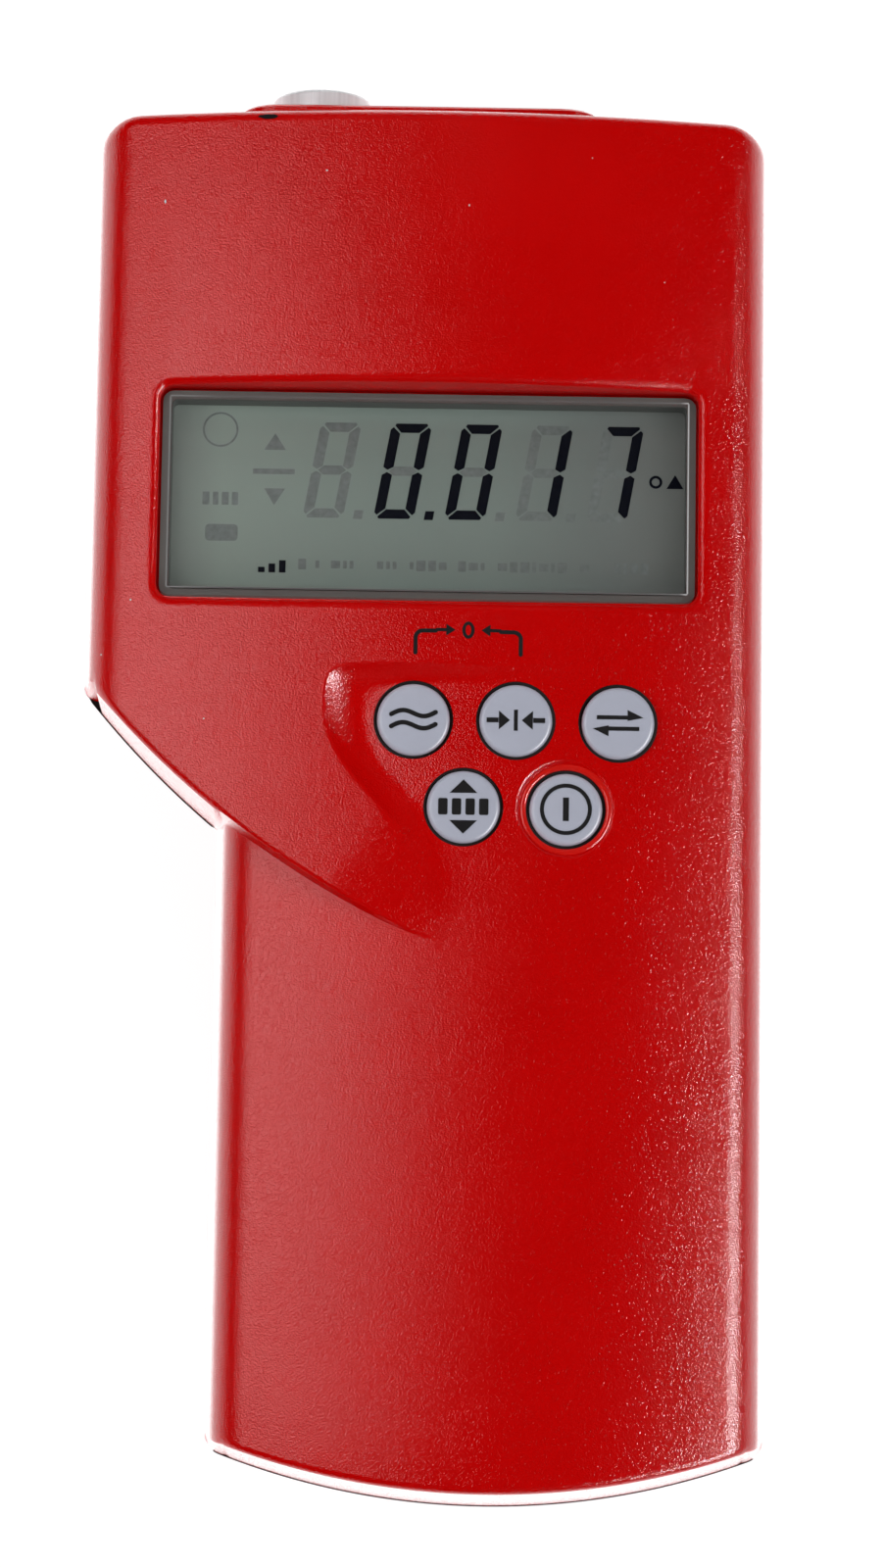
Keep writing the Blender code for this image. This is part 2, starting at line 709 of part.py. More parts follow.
    def solid(self, name, inner_columns, morph, levels, steps):
        """The closed solid under the face, down to its flat base."""
        columns = self.head.columns(0, steps) + self.handle.columns(0, steps)
        columns += self.handle.columns(1, steps) + list(inner_columns)
        columns = spread(columns, [self.left, self.handle_left, self.right])
        points, handle_ids, head_ids = [], [], []
        for x in columns:
            for rows, ids in zip(
                self.column(x, morph, levels, steps), (handle_ids, head_ids)
            ):
                ids.append(list(range(len(points), len(points) + len(rows))))
                points += rows
        faces = []
        for a, b in zip(range(len(columns) - 1), range(1, len(columns))):
            one, two = head_ids[a], head_ids[b]
            if handle_ids[a]:
                one, two = handle_ids[a] + one, handle_ids[b] + two
            for i in range(len(one) - 1):
                faces.append([one[i], two[i], two[i + 1], one[i + 1]])
        first = columns.index(self.handle_left)
        rim = [ids[0] for ids in handle_ids[first:]]
        rim += (handle_ids[-1] + head_ids[-1])[1:]
        rim += [ids[-1] for ids in head_ids[:-1]][::-1]
        rim += head_ids[0][:-1][::-1]
        rim += [ids[0] for ids in head_ids[1 : first + 1]]
        rim += handle_ids[first][1:][::-1]
        faces.append(rim[::-1])
        return triangulated(mesh_object(name, points, faces))


def spread(values, kept, least=0.00015):
    """The values in order, without those that nearly repeat another or a kept one."""
    found = []
    for value in sorted(values):
        near_kept = any(0 < abs(value - one) < least for one in kept)
        if near_kept or (found and value - found[-1] < least):
            continue
        found.append(value)
    return found


# Window sizes that several pieces share
RECESS_WIDTH = PANE_WIDTH + 2 * GAP
RECESS_HEIGHT = PANE_HEIGHT + 2 * GAP
PANE_LOW_Z = PANE_TOP_Z - PANE_THICKNESS
LEDGE_Z = PANE_LOW_Z - SEAL_THICKNESS - 2 * SLACK
VIEW_WIDTH = PANE_WIDTH - 2 * PANE_BORDER
VIEW_HEIGHT = PANE_HEIGHT - 2 * PANE_BORDER


def lip_run(x):
    """How far the sloped lower wall of the window recess reaches below it at the face."""
    face = HEAD_CROWN_Z - circle_drop(HEAD_CROWN_RADIUS, min(abs(x), SHARED_CROWN_X))
    return max(face - PANE_TOP_Z, 0) * LIP_SLOPE


def recess_edge_distance(x, y):
    """Distance outside the window recess's outline at the face, 0 inside it."""
    corner = PANE_CORNER + GAP
    dx = abs(x - WINDOW_X) - RECESS_WIDTH / 2 + corner
    dy = max(WINDOW_Y - lip_run(x) - y, y - WINDOW_Y) - RECESS_HEIGHT / 2 + corner
    return math.hypot(max(dx, 0), max(dy, 0)) + min(max(dx, dy), 0) - corner


def rim_steps():
    """Offsets across the rounding of the window's rim."""
    return [0.0, RIM_ROUND * 0.12, RIM_ROUND * 0.4, RIM_ROUND]


def front_columns():
    """Columns across the front, closer together where the keypad recess turns."""
    side = RECESS_WIDTH / 2
    found = [WINDOW_X + sign * (side + step) for sign in (-1, 1) for step in rim_steps()]
    found += [WINDOW_X + sign * (side - PANE_CORNER) for sign in (-1, 1)]
    left = RECESS_LEFT_X
    found += [left + RECESS_LEFT_RUN * i / 5 for i in range(-1, 6)]
    found += [(left + HANDLE_LEFT_X) / 2, (HANDLE_LEFT_X - side) / 2 + WINDOW_X]
    start, end = left + RECESS_LEFT_RUN * 1.2, SHARED_CROWN_X
    count = 11
    found += [start + (end - start) * i / count for i in range(count + 1)]
    return found


def window_levels():
    """Straight rows over the head, from just below the window to above it."""
    half = RECESS_HEIGHT / 2
    lip = lip_run(WINDOW_X)
    low = [WINDOW_Y - half - step for step in (lip + RIM_ROUND, lip + RIM_ROUND / 3, lip / 2)]
    low += [WINDOW_Y - half, WINDOW_Y - half + PANE_CORNER]
    high = [WINDOW_Y + half - PANE_CORNER]
    high += [WINDOW_Y + half + step for step in rim_steps()]
    return low + high


# Case
def front_inside():
    """What is hollow in the front moulding: its inside without the bosses and window well."""
    face = FrontFace(WALL, FRONT_Z - OVERCUT)
    half = RECESS_HEIGHT / 2 + WALL
    levels = [WINDOW_Y - half, WINDOW_Y + half]
    left, right = RECESS_LEFT_X, SHARED_CROWN_X
    columns = [(HANDLE_LEFT_X - HEAD_HALF_WIDTH) / 2]
    columns += [left + (right - left) * i / INSIDE_COLUMNS for i in range(INSIDE_COLUMNS + 1)]
    inside = as_cutter(face.solid("front_inside", columns, 9, levels, 2))
    for name, places, diameter, low in (
        ("front_case_bosses", CASE_SCREWS, CASE_BOSS_DIAMETER, FRONT_Z + GAP),
        ("front_board_bosses", BOARD_SCREWS, BOARD_BOSS_DIAMETER, BOARD_TOP_Z + GAP),
    ):
        kept = cylinders(name, places, diameter / 2, low, HEAD_CROWN_Z + WALL, 20)
        boolean(inside, as_cutter(kept))
    well = rounded_rectangle(
        WINDOW_X, WINDOW_Y, RECESS_WIDTH + 2 * WALL, RECESS_HEIGHT + 2 * WALL, PANE_CORNER + WALL
    )
    kept = prism("window_well", well, LEDGE_Z - PANE_LEDGE + SLACK, HEAD_CROWN_Z + WALL)
    boolean(inside, as_cutter(kept))
    return inside


def window_cut():
    """The recess for the pane and the opening through its ledge, as one stepped solid."""
    recess = rounded_rectangle(WINDOW_X, WINDOW_Y, RECESS_WIDTH, RECESS_HEIGHT, PANE_CORNER + GAP)
    view = rounded_rectangle(WINDOW_X, WINDOW_Y, VIEW_WIDTH, VIEW_HEIGHT, PANE_CORNER / 2)
    high = HEAD_CROWN_Z + OVERCUT
    run = (high - PANE_TOP_Z) * LIP_SLOPE
    mouth = rounded_rectangle(
        WINDOW_X, WINDOW_Y - run / 2, RECESS_WIDTH, RECESS_HEIGHT + run, PANE_CORNER + GAP
    )
    rings = [
        [(x, y, LEDGE_Z - PANE_LEDGE - OVERCUT) for x, y in view],
        [(x, y, LEDGE_Z) for x, y in view],
        [(x, y, LEDGE_Z) for x, y in recess],
        [(x, y, PANE_TOP_Z) for x, y in recess],
        [(x, y, high) for x, y in mouth],
    ]
    return as_cutter(loft("window_cut", rings))


def floor_z(x):
    """Height of the keypad recess's floor."""
    return HANDLE_CROWN_Z - circle_drop(HANDLE_CROWN_RADIUS, x - HANDLE_MID_X)


def key_floor_z(name):
    x, _ = KEYS[name]
    return floor_z(x) - (DISH_DEPTH if name == "key_power" else 0)


def dish_cut():
    """The shallow dish round the power key."""
    x, y = KEYS["key_power"]
    low = key_floor_z("key_power")
    slope = (DISH_DIAMETER - DISH_FLOOR_DIAMETER) / 2 / DISH_DEPTH
    high = floor_z(x) + OVERCUT
    rings = []
    for z in (low, high):
        radius = DISH_FLOOR_DIAMETER / 2 + slope * (z - low)
        rings.append([(px, py, z) for px, py in arc(x, y, radius, 0, 360, 36)[:-1]])
    return as_cutter(loft("dish_cut", rings))


def port_pad():
    """The raised pad on the end wall that carries the port."""
    height = PAD_HIGH_Z - PAD_LOW_Z
    outline = rounded_rectangle(
        (PAD_LEFT_X + PAD_RIGHT_X) / 2, (PAD_LOW_Z + PAD_HIGH_Z) / 2,
        PAD_RIGHT_X - PAD_LEFT_X, height, height / 2 * 0.8, 5,
    )
    inner = HEAD_TOP_Y - WALL
    outer = HEAD_TOP_Y + PAD_PROUD
    middle_x, middle_z = (PAD_LEFT_X + PAD_RIGHT_X) / 2, (PAD_LOW_Z + PAD_HIGH_Z) / 2
    shrink_x = 1 - EDGE_BREAK / ((PAD_RIGHT_X - PAD_LEFT_X) / 2)
    shrink_z = 1 - EDGE_BREAK / (height / 2)
    rings = []
    for y, wide, tall in ((outer, shrink_x, shrink_z), (outer - EDGE_BREAK, 1, 1), (inner, 1, 1)):
        ring = [(middle_x + (x - middle_x) * wide, middle_z + (z - middle_z) * tall)
                for x, z in outline]
        rings.append([(x, y, z) for x, z in ring])
    return as_cutter(loft("port_pad", rings))


def along_y(obj, x, y, z):
    """Turns an upright piece so that its top points to +Y."""
    obj.location = (x, y, z)
    obj.rotation_euler = (-math.pi / 2, 0, 0)
    return obj


def front_case():
    face = FrontFace(0.0, FRONT_Z)
    case = face.solid("front_case", front_columns(), 19, window_levels(), 3)
    boolean(case, port_pad(), "UNION")
    boolean(case, front_inside())
    boolean(case, window_cut())
    boolean(case, dish_cut())
    holes = cylinders(
        "key_holes", list(KEYS.values()), KEY_DIAMETER / 2 + KEY_HOLE_CLEARANCE,
        PARTING_Z, HEAD_CROWN_Z + WALL, 28,
    )
    boolean(case, as_cutter(holes))
    pilots = cylinders(
        "case_pilots", CASE_SCREWS, CASE_SCREW_SHANK / 2 + SCREW_CLEARANCE,
        FRONT_Z - OVERCUT, CASE_SCREW_SEAT_Z + CASE_SCREW_LENGTH + OVERCUT, 12,
    )
    boolean(case, as_cutter(pilots))
    pilots = cylinders(
        "board_pilots", BOARD_SCREWS, BOARD_SCREW_SHANK / 2 + SCREW_CLEARANCE,
        FRONT_Z, BOARD_TOP_Z + BOARD_SCREW_LENGTH, 12,
    )
    boolean(case, as_cutter(pilots))
    hole = cylinders(
        "port_hole", [(0, 0)], PORT_STEM_DIAMETER / 2 + GAP, -OVERCUT * 8, OVERCUT * 3, 32
    )
    boolean(case, as_cutter(along_y(hole, PORT_X, HEAD_TOP_Y, PORT_Z)))
    return place(case, red_plastic())


def rear_rings(inset, floor, high, fillet):
    """Rings of the rear moulding from its flat back up to a height."""
    draft = math.tan(REAR_DRAFT)
    steps = 4
    start = (REAR_Z - floor - fillet) * draft
    rings = []
    for i in range(steps + 1):
        turn = math.pi / 2 * (1 - i / steps)
        shift = inset + start + fillet * (1 - math.cos(turn))
        z = floor + fillet * (1 - math.sin(turn))
        rings.append([(x, y, z) for x, y in case_outline(shift)])
    top = inset + (REAR_Z - high) * draft
    rings.append([(x, y, high) for x, y in case_outline(top)])
    return rings


def door_places():
    """Middle of the battery door, its length and its two screws."""
    length = BATTERY_LENGTH + 2 * BATTERY_CLEARANCE + 2 * DOOR_END
    middle = (BATTERY_TOP_Y + BATTERY_BOTTOM_Y) / 2
    reach = length / 2 - DOOR_END / 2
    return middle, length, [(BATTERY_MID_X, middle + reach), (BATTERY_MID_X, middle - reach)]


DOOR_Y, DOOR_LENGTH, DOOR_SCREWS = door_places()
DOOR_RECESS_Z = DOOR_THICKNESS + DOOR_SEAL_THICKNESS + 2 * SLACK
DOOR_LEDGE_Z = DOOR_RECESS_Z + DOOR_LEDGE_THICKNESS
DOOR_BOSS_Z = DOOR_LEDGE_Z + DOOR_BOSS_HEIGHT


def rear_inside():
    """What is hollow in the rear moulding: its inside without bosses and battery ledge."""
    rings = rear_rings(WALL, WALL, REAR_Z + OVERCUT, REAR_FILLET - WALL)
    inside = as_cutter(loft("rear_inside", rings))
    kept = cylinders(
        "rear_case_bosses", CASE_SCREWS, CASE_BOSS_DIAMETER / 2, -OVERCUT, REAR_Z - GAP, 20
    )
    boolean(inside, as_cutter(kept))
    ledge = rounded_rectangle(
        BATTERY_MID_X, DOOR_Y, DOOR_WIDTH + 2 * WALL, DOOR_LENGTH + 2 * WALL, DOOR_CORNER + WALL
    )
    boolean(inside, as_cutter(prism("battery_ledge", ledge, -OVERCUT, DOOR_LEDGE_Z)))
    kept = cylinders("door_bosses", DOOR_SCREWS, BOARD_BOSS_DIAMETER / 2, 0, DOOR_BOSS_Z, 16)
    boolean(inside, as_cutter(kept))
    return inside


def rear_case():
    case = loft("rear_case", rear_rings(0.0, 0.0, REAR_Z, REAR_FILLET))
    boolean(case, rear_inside())
    recess = rounded_rectangle(
        BATTERY_MID_X, DOOR_Y, DOOR_WIDTH + 2 * GAP, DOOR_LENGTH + 2 * GAP, DOOR_CORNER + GAP
    )
    boolean(case, as_cutter(prism("door_recess", recess, -OVERCUT, DOOR_RECESS_Z)))
    opening = rounded_rectangle(
        BATTERY_MID_X, DOOR_Y, BATTERY_WIDTH + 2 * BATTERY_CLEARANCE,
        BATTERY_LENGTH + 2 * BATTERY_CLEARANCE, BATTERY_CORNER + BATTERY_CLEARANCE,
    )
    boolean(case, as_cutter(prism("battery_opening", opening, 0.0, DOOR_LEDGE_Z + OVERCUT)))
    bores = cylinders(
        "case_screw_bores", CASE_SCREWS, CASE_SCREW_HEAD / 2 + SCREW_CLEARANCE,
        -OVERCUT, CASE_SCREW_SEAT_Z, 20,
    )
    boolean(case, as_cutter(bores))
    bores = cylinders(
        "case_screw_holes", CASE_SCREWS, CASE_SCREW_SHANK / 2 + SCREW_CLEARANCE,
        0.0, REAR_Z + OVERCUT, 12,
    )
    boolean(case, as_cutter(bores))
    bores = cylinders(
        "door_pilots", DOOR_SCREWS, BOARD_SCREW_SHANK / 2 + SCREW_CLEARANCE,
        0.0, DOOR_BOSS_Z + OVERCUT, 12,
    )
    boolean(case, as_cutter(bores))
    return place(case, red_plastic())


def ring_prism(name, outer, inner, low, high):
    """A flat ring between two outlines of as many points each."""
    count = len(outer)
    points = []
    for outline, z in ((outer, low), (outer, high), (inner, high), (inner, low)):
        points += [(x, y, z) for x, y in outline]
    faces = []
    for side in range(4):
        for i in range(count):
            j = (i + 1) % count
            one, two = side * count, (side + 1) % 4 * count
            faces.append([one + i, one + j, two + j, two + i])
    return mesh_object(name, points, faces)


def case_gasket():
    low = PARTING_Z - GASKET_THICKNESS / 2
    ring = ring_prism(
        "case_gasket", case_outline(GASKET_INSET), case_outline(WALL - 2 * GASKET_INSET), low,
        low + GASKET_THICKNESS,
    )
    return place(ring, black_rubber())


# Window and display
def display_window():
    outline = rounded_rectangle(WINDOW_X, WINDOW_Y, PANE_WIDTH, PANE_HEIGHT, PANE_CORNER)
    pane = prism("display_window", outline, PANE_LOW_Z, PANE_TOP_Z)
    bevel = pane.modifiers.new("edge", "BEVEL")
    bevel.width = SLACK
    bevel.segments = 1
    bevel.limit_method = "ANGLE"
    bevel.angle_limit = math.radians(60)
    clear = material("clear_acrylic", (0.86, 0.88, 0.86), 0.05, alpha=0.25)
    return place(pane, clear)


def window_seal():
    outer = rounded_rectangle(WINDOW_X, WINDOW_Y, PANE_WIDTH, PANE_HEIGHT, PANE_CORNER)
    inner = rounded_rectangle(WINDOW_X, WINDOW_Y, VIEW_WIDTH, VIEW_HEIGHT, PANE_CORNER / 2)
    low = LEDGE_Z + SLACK
    frame = ring_prism("window_seal", outer, inner, low, low + SEAL_THICKNESS)
    return place(frame, material("black_bond_frame", (0.02, 0.018, 0.02), 0.5))


LCD_WIDTH = VIEW_WIDTH + 2 * LCD_MARGIN
LCD_HEIGHT = VIEW_HEIGHT + 2 * LCD_MARGIN
LCD_LOW_Z = LCD_TOP_Z - LCD_THICKNESS


def lcd_glass():
    half_x, half_y = LCD_WIDTH / 2, LCD_HEIGHT / 2
    low = (WINDOW_X - half_x, WINDOW_Y - half_y, LCD_LOW_Z)
    high = (WINDOW_X + half_x, WINDOW_Y + half_y, LCD_TOP_Z)
    return place(box("lcd_glass", low, high), material("lcd_cell", (0.19, 0.22, 0.19), 0.25))


def lcd_frame():
    """Holder round the display, whose lip holds the glass down towards the board."""
    wide, tall = LCD_WIDTH + 2 * GAP, LCD_HEIGHT + 2 * GAP
    outer = rounded_rectangle(
        WINDOW_X, WINDOW_Y, wide + 2 * LCD_FRAME_WALL, tall + 2 * LCD_FRAME_WALL, PANE_CORNER
    )
    inner = rounded_rectangle(WINDOW_X, WINDOW_Y, wide, tall, SLACK)
    lip = LCD_TOP_Z + GAP
    frame = ring_prism("lcd_frame", outer, inner, BOARD_TOP_Z + GAP, lip)
    return place(frame, material("black_frame_plastic", (0.02, 0.02, 0.02), 0.5))


def lcd_connectors():
    """Elastomer strips between the glass and the board, along its long edges."""
    strip = material("elastomer_strip", (0.10, 0.10, 0.11), 0.7)
    reach = LCD_HEIGHT / 2 - CONNECTOR_WIDTH / 2 - GAP
    for name, y in (("upper", WINDOW_Y + reach), ("lower", WINDOW_Y - reach)):
        low = (WINDOW_X - LCD_WIDTH / 2 + GAP, y - CONNECTOR_WIDTH / 2, BOARD_TOP_Z + GAP)
        high = (WINDOW_X + LCD_WIDTH / 2 - GAP, y + CONNECTOR_WIDTH / 2, LCD_LOW_Z - GAP)
        place(box(f"lcd_connector_{name}", low, high), strip)


# Keys
def key_cap(name):
    x, y = KEYS[name]
    top = key_floor_z(name) + KEY_PROUD
    radius = KEY_DIAMETER / 2
    outwards = math.copysign(radius + KEY_FLANGE, x - HANDLE_MID_X)
    under = floor_z(x + outwards) - WALL - GAP
    stem_low = under - KEY_FLANGE_THICKNESS - KEY_STEM_LENGTH
    profile = [(0.0, top)]
    for i in range(3):
        turn = math.radians(90 - 45 * i)
        profile.append(
            (radius - KEY_EDGE + KEY_EDGE * math.cos(turn), top - KEY_EDGE * (1.2 - math.sin(turn)))
        )
    profile += [
        (radius, under),
        (radius + KEY_FLANGE, under),
        (radius + KEY_FLANGE, under - KEY_FLANGE_THICKNESS),
        (KEY_STEM_DIAMETER / 2, under - KEY_FLANGE_THICKNESS),
        (KEY_STEM_DIAMETER / 2, stem_low),
        (0.0, stem_low),
    ]
    cap = turned(name, [(r, z - top) for r, z in profile], 24)
    cap.location = (x, y, top)
    place(cap, material("grey_key_plastic", (0.42, 0.43, 0.49), 0.35))
    return stem_low


def key_mat(stem_low):
    """Rubber sheet on the board, with a blunt dome under each key."""
    low = BOARD_TOP_Z + GAP
    high = low + MAT_THICKNESS
    xs = [x for x, _ in KEYS.values()]
    ys = [y for _, y in KEYS.values()]
    radius = KEY_DIAMETER / 2
    margin = radius + MAT_MARGIN
    mid_x, mid_y = (min(xs) + max(xs)) / 2, (min(ys) + max(ys)) / 2
    outline = rounded_rectangle(
        mid_x, mid_y, max(xs) - min(xs) + 2 * margin, max(ys) - min(ys) + 2 * margin, MAT_MARGIN
    )
    mat = prism("key_mat", outline, low, high)
    form = bmesh.new()
    for name, (x, y) in KEYS.items():
        top = stem_low[name] - KEY_TRAVEL - KEY_STOP_GAP
        base = high - MAT_THICKNESS / 2
        made = bmesh.ops.create_cone(
            form, cap_ends=True, segments=16, radius1=radius, radius2=KEY_STEM_DIAMETER / 2,
            depth=top - base,
        )
        bmesh.ops.translate(form, verts=made["verts"], vec=(x, y, (top + base) / 2))
    mesh = bpy.data.meshes.new("key_domes")
    form.to_mesh(mesh)
    form.free()
    boolean(mat, as_cutter(bpy.data.objects.new("key_domes", mesh)), "UNION")
    return place(mat, material("grey_silicone", (0.30, 0.30, 0.31), 0.7))


# Electronics
def circuit_board():
    half = BOARD_HALF_WIDTH
    outline = [
        (HANDLE_LEFT_X + BOARD_TONGUE_INSET, BOARD_BOTTOM_Y), (half, BOARD_BOTTOM_Y),
        (half, BOARD_TOP_Y), (-half, BOARD_TOP_Y), (-half, SHOULDER_Y),
        (HANDLE_LEFT_X, SHOULDER_Y - BOARD_SHOULDER_DROP),
    ]
    board = prism("circuit_board", outline, BOARD_TOP_Z - BOARD_THICKNESS, BOARD_TOP_Z)
    holes = cylinders(
        "board_holes", BOARD_SCREWS, BOARD_SCREW_SHANK / 2 + SCREW_CLEARANCE,
        BOARD_TOP_Z - BOARD_THICKNESS - OVERCUT, BOARD_TOP_Z + OVERCUT, 12,
    )
    boolean(board, as_cutter(holes))
    return place(board, material("green_board", (0.02, 0.12, 0.05), 0.5))


def board_parts():
    """The main chip under the board and the socket for the battery's leads."""
    under = BOARD_TOP_Z - BOARD_THICKNESS - GAP
    chip = box(
        "main_chip", (WINDOW_X, WINDOW_Y, under - CHIP_THICKNESS),
        (WINDOW_X + CHIP_SIZE, WINDOW_Y + CHIP_SIZE, under),
    )
    place(chip, material("chip_epoxy", (0.015, 0.015, 0.015), 0.5))
    x, y = BATTERY_MID_X, BOARD_BOTTOM_Y + 2 * GAP
    header = box(
        "battery_header", (x - HEADER_WIDTH / 2, y, under - HEADER_HEIGHT),
        (x + HEADER_WIDTH / 2, y + HEADER_LENGTH, under),
    )
    place(header, material("white_socket_plastic", (0.75, 0.74, 0.70), 0.5))
    return y, under - HEADER_HEIGHT / 2


# Port and sensor
def pressure_port():
    """Turned fitting: flange outside the wall, threaded stem, spigot for the tube inside."""
    boss, stem = PORT_BOSS_DIAMETER / 2, PORT_STEM_DIAMETER / 2
    bore, spigot = PORT_BORE_DIAMETER / 2, BARB_DIAMETER / 2
    passage = PORT_PASSAGE_DIAMETER / 2
    flange_y = HEAD_TOP_Y + PAD_PROUD + PORT_SEAL_THICKNESS + 2 * SLACK
    spigot_end = PORT_STEM_END_Y - BARB_LENGTH
    bore_end = PORT_END_Y - PORT_BORE_DEPTH
    profile = [
        (bore + EDGE_BREAK, PORT_END_Y),
        (boss - PORT_CHAMFER, PORT_END_Y),
        (boss - PORT_CHAMFER * 0.3, PORT_END_Y - PORT_CHAMFER * 0.3),
        (boss, PORT_END_Y - PORT_CHAMFER),
        (boss, flange_y),
        (stem, flange_y),
        (stem, PORT_STEM_END_Y),
        (spigot, PORT_STEM_END_Y),
        (spigot, spigot_end),
        (passage, spigot_end),
        (passage, bore_end - bore * 0.5),
        (bore, bore_end),
        (bore, PORT_END_Y - EDGE_BREAK),
    ]
    port = turned("pressure_port", [(r, y - PORT_END_Y) for r, y in profile], 32)
    along_y(port, PORT_X, PORT_END_Y, PORT_Z)
    return place(port, material("nickel_plated_brass", (0.66, 0.66, 0.68), 0.25, 1.0))


def ring(name, inner, outer, low, high, steps=32):
    profile = [(inner, high), (outer, high), (outer, low), (inner, low)]
    return turned(name, profile, steps)


def port_seal():
    seal = ring(
        "port_seal", PORT_STEM_DIAMETER / 2 + GAP, PORT_BOSS_DIAMETER / 2, 0, PORT_SEAL_THICKNESS
    )
    along_y(seal, PORT_X, HEAD_TOP_Y + PAD_PROUD + SLACK, PORT_Z)
    return place(seal, black_rubber())


def port_nut():
    """Hexagon nut against the inside of the end wall."""
    lean = (PORT_Z + NUT_ACROSS_FLATS / 2 - FRONT_Z) * math.tan(END_DRAFT)
    face_y = HEAD_TOP_Y - WALL - lean - GAP
    outer = NUT_ACROSS_FLATS / math.sqrt(3)
    nut = cylinders("port_nut", [(0, 0)], outer, -NUT_THICKNESS, 0.0, 6)
    bore = cylinders(
        "nut_bore", [(0, 0)], PORT_STEM_DIAMETER / 2 + GAP, -NUT_THICKNESS * 2, NUT_THICKNESS, 32
    )
    boolean(nut, as_cutter(along_y(bore, PORT_X, face_y, PORT_Z)))
    along_y(nut, PORT_X, face_y, PORT_Z)
    return place(nut, steel())


def sensor_and_tube():
    """Pressure sensor on the board, and the short tube from the port's spigot to it."""
    spigot = BARB_DIAMETER / 2
    low = BOARD_TOP_Z + GAP
    frame_top = WINDOW_Y + LCD_HEIGHT / 2 + GAP + LCD_FRAME_WALL
    block_top = frame_top + SENSOR_MARGIN + SENSOR_SIZE
    block = box(
        "pressure_sensor",
        (PORT_X - SENSOR_SIZE / 2, block_top - SENSOR_SIZE, low),
        (PORT_X + SENSOR_SIZE / 2, block_top, low + SENSOR_HEIGHT),
    )
    stub = cylinders("sensor_spigot", [(0, 0)], spigot, -OVERCUT, BARB_LENGTH, 20)
    boolean(block, as_cutter(along_y(stub, PORT_X, block_top, PORT_Z)), "UNION")
    place(block, material("sensor_plastic", (0.05, 0.05, 0.06), 0.45))
    tube = ring(
        "sensor_tube", spigot + SLACK, spigot + SLACK + TUBE_WALL,
        block_top + GAP, PORT_STEM_END_Y - GAP, 20,
    )
    along_y(tube, PORT_X, 0.0, PORT_Z)
    return place(tube, material("clear_silicone_tube", (0.70, 0.70, 0.68), 0.4))


# Battery
PAD_TOP_Z = DOOR_THICKNESS + SLACK + BATTERY_PAD_THICKNESS
BATTERY_LOW_Z = PAD_TOP_Z + SLACK


def battery_parts(header_y, header_z):
    half = BATTERY_WIDTH / 2
    x, high = BATTERY_MID_X, BATTERY_LOW_Z + BATTERY_THICKNESS
    cell = prism(
        "battery",
        rounded_rectangle(x, DOOR_Y, BATTERY_WIDTH, BATTERY_LENGTH, BATTERY_CORNER, 2),
        BATTERY_LOW_Z, high,
    )
    place(cell, material("battery_can", (0.25, 0.25, 0.27), 0.35, 0.6))
    pad = box(
        "battery_pad",
        (x - half * 0.8, DOOR_Y - BATTERY_LENGTH * 0.4, DOOR_THICKNESS + SLACK),
        (x + half * 0.8, DOOR_Y + BATTERY_LENGTH * 0.4, PAD_TOP_Z),
    )
    place(pad, material("grey_foam", (0.16, 0.16, 0.17), 0.9))
    snap_low = BATTERY_TOP_Y + GAP
    snap = box(
        "battery_snap",
        (x - half + SNAP_SIDE_INSET, snap_low, BATTERY_LOW_Z + SNAP_FACE_INSET),
        (x + half - SNAP_SIDE_INSET, snap_low + SNAP_THICKNESS, high - SNAP_FACE_INSET),
    )
    place(snap, material("black_snap_plastic", (0.02, 0.02, 0.02), 0.5))
    start_y = snap_low + SNAP_THICKNESS + GAP
    for name, side, colour in (
        ("battery_lead_red", -1, (0.55, 0.02, 0.02)),
        ("battery_lead_black", 1, (0.015, 0.015, 0.015)),
    ):
        lead_x = x + side * LEAD_PITCH / 2
        span = header_y - GAP - start_y
        route = [
            (lead_x, start_y, header_z + LEAD_RISE),
            (lead_x, start_y + span * 0.4, header_z + LEAD_RISE * 0.4),
            (lead_x, start_y + span * 0.7, header_z),
            (lead_x, start_y + span, header_z),
        ]
        lead(name, route, colour)


def lead(name, route, colour):
    data = bpy.data.curves.new(name, "CURVE")
    data.dimensions = "3D"
    data.bevel_depth = LEAD_DIAMETER / 2
    data.bevel_resolution = 2
    data.use_fill_caps = True
    spline = data.splines.new("POLY")
    spline.points.add(len(route) - 1)
    for point, place_at in zip(spline.points, route):
        point.co = (*place_at, 1.0)
    data.materials.append(material(f"{name}_insulation", colour, 0.5))
    wire = bpy.data.objects.new(name, data)
    PARTS.objects.link(wire)
    return wire


def battery_door():
    outline = rounded_rectangle(BATTERY_MID_X, DOOR_Y, DOOR_WIDTH, DOOR_LENGTH, DOOR_CORNER)
    door = prism("battery_door", outline, 0.0, DOOR_THICKNESS)
    head, shank = BOARD_SCREW_HEAD / 2, BOARD_SCREW_SHANK / 2
    for name, radius, low, high in (
        ("door_screw_sinks", head + SCREW_CLEARANCE, -OVERCUT, DOOR_SCREW_SINK),
        ("door_screw_holes", shank + SCREW_CLEARANCE, 0.0, DOOR_THICKNESS + OVERCUT),
    ):
        boolean(door, as_cutter(cylinders(name, DOOR_SCREWS, radius, low, high, 20)))
    return place(door, red_plastic())


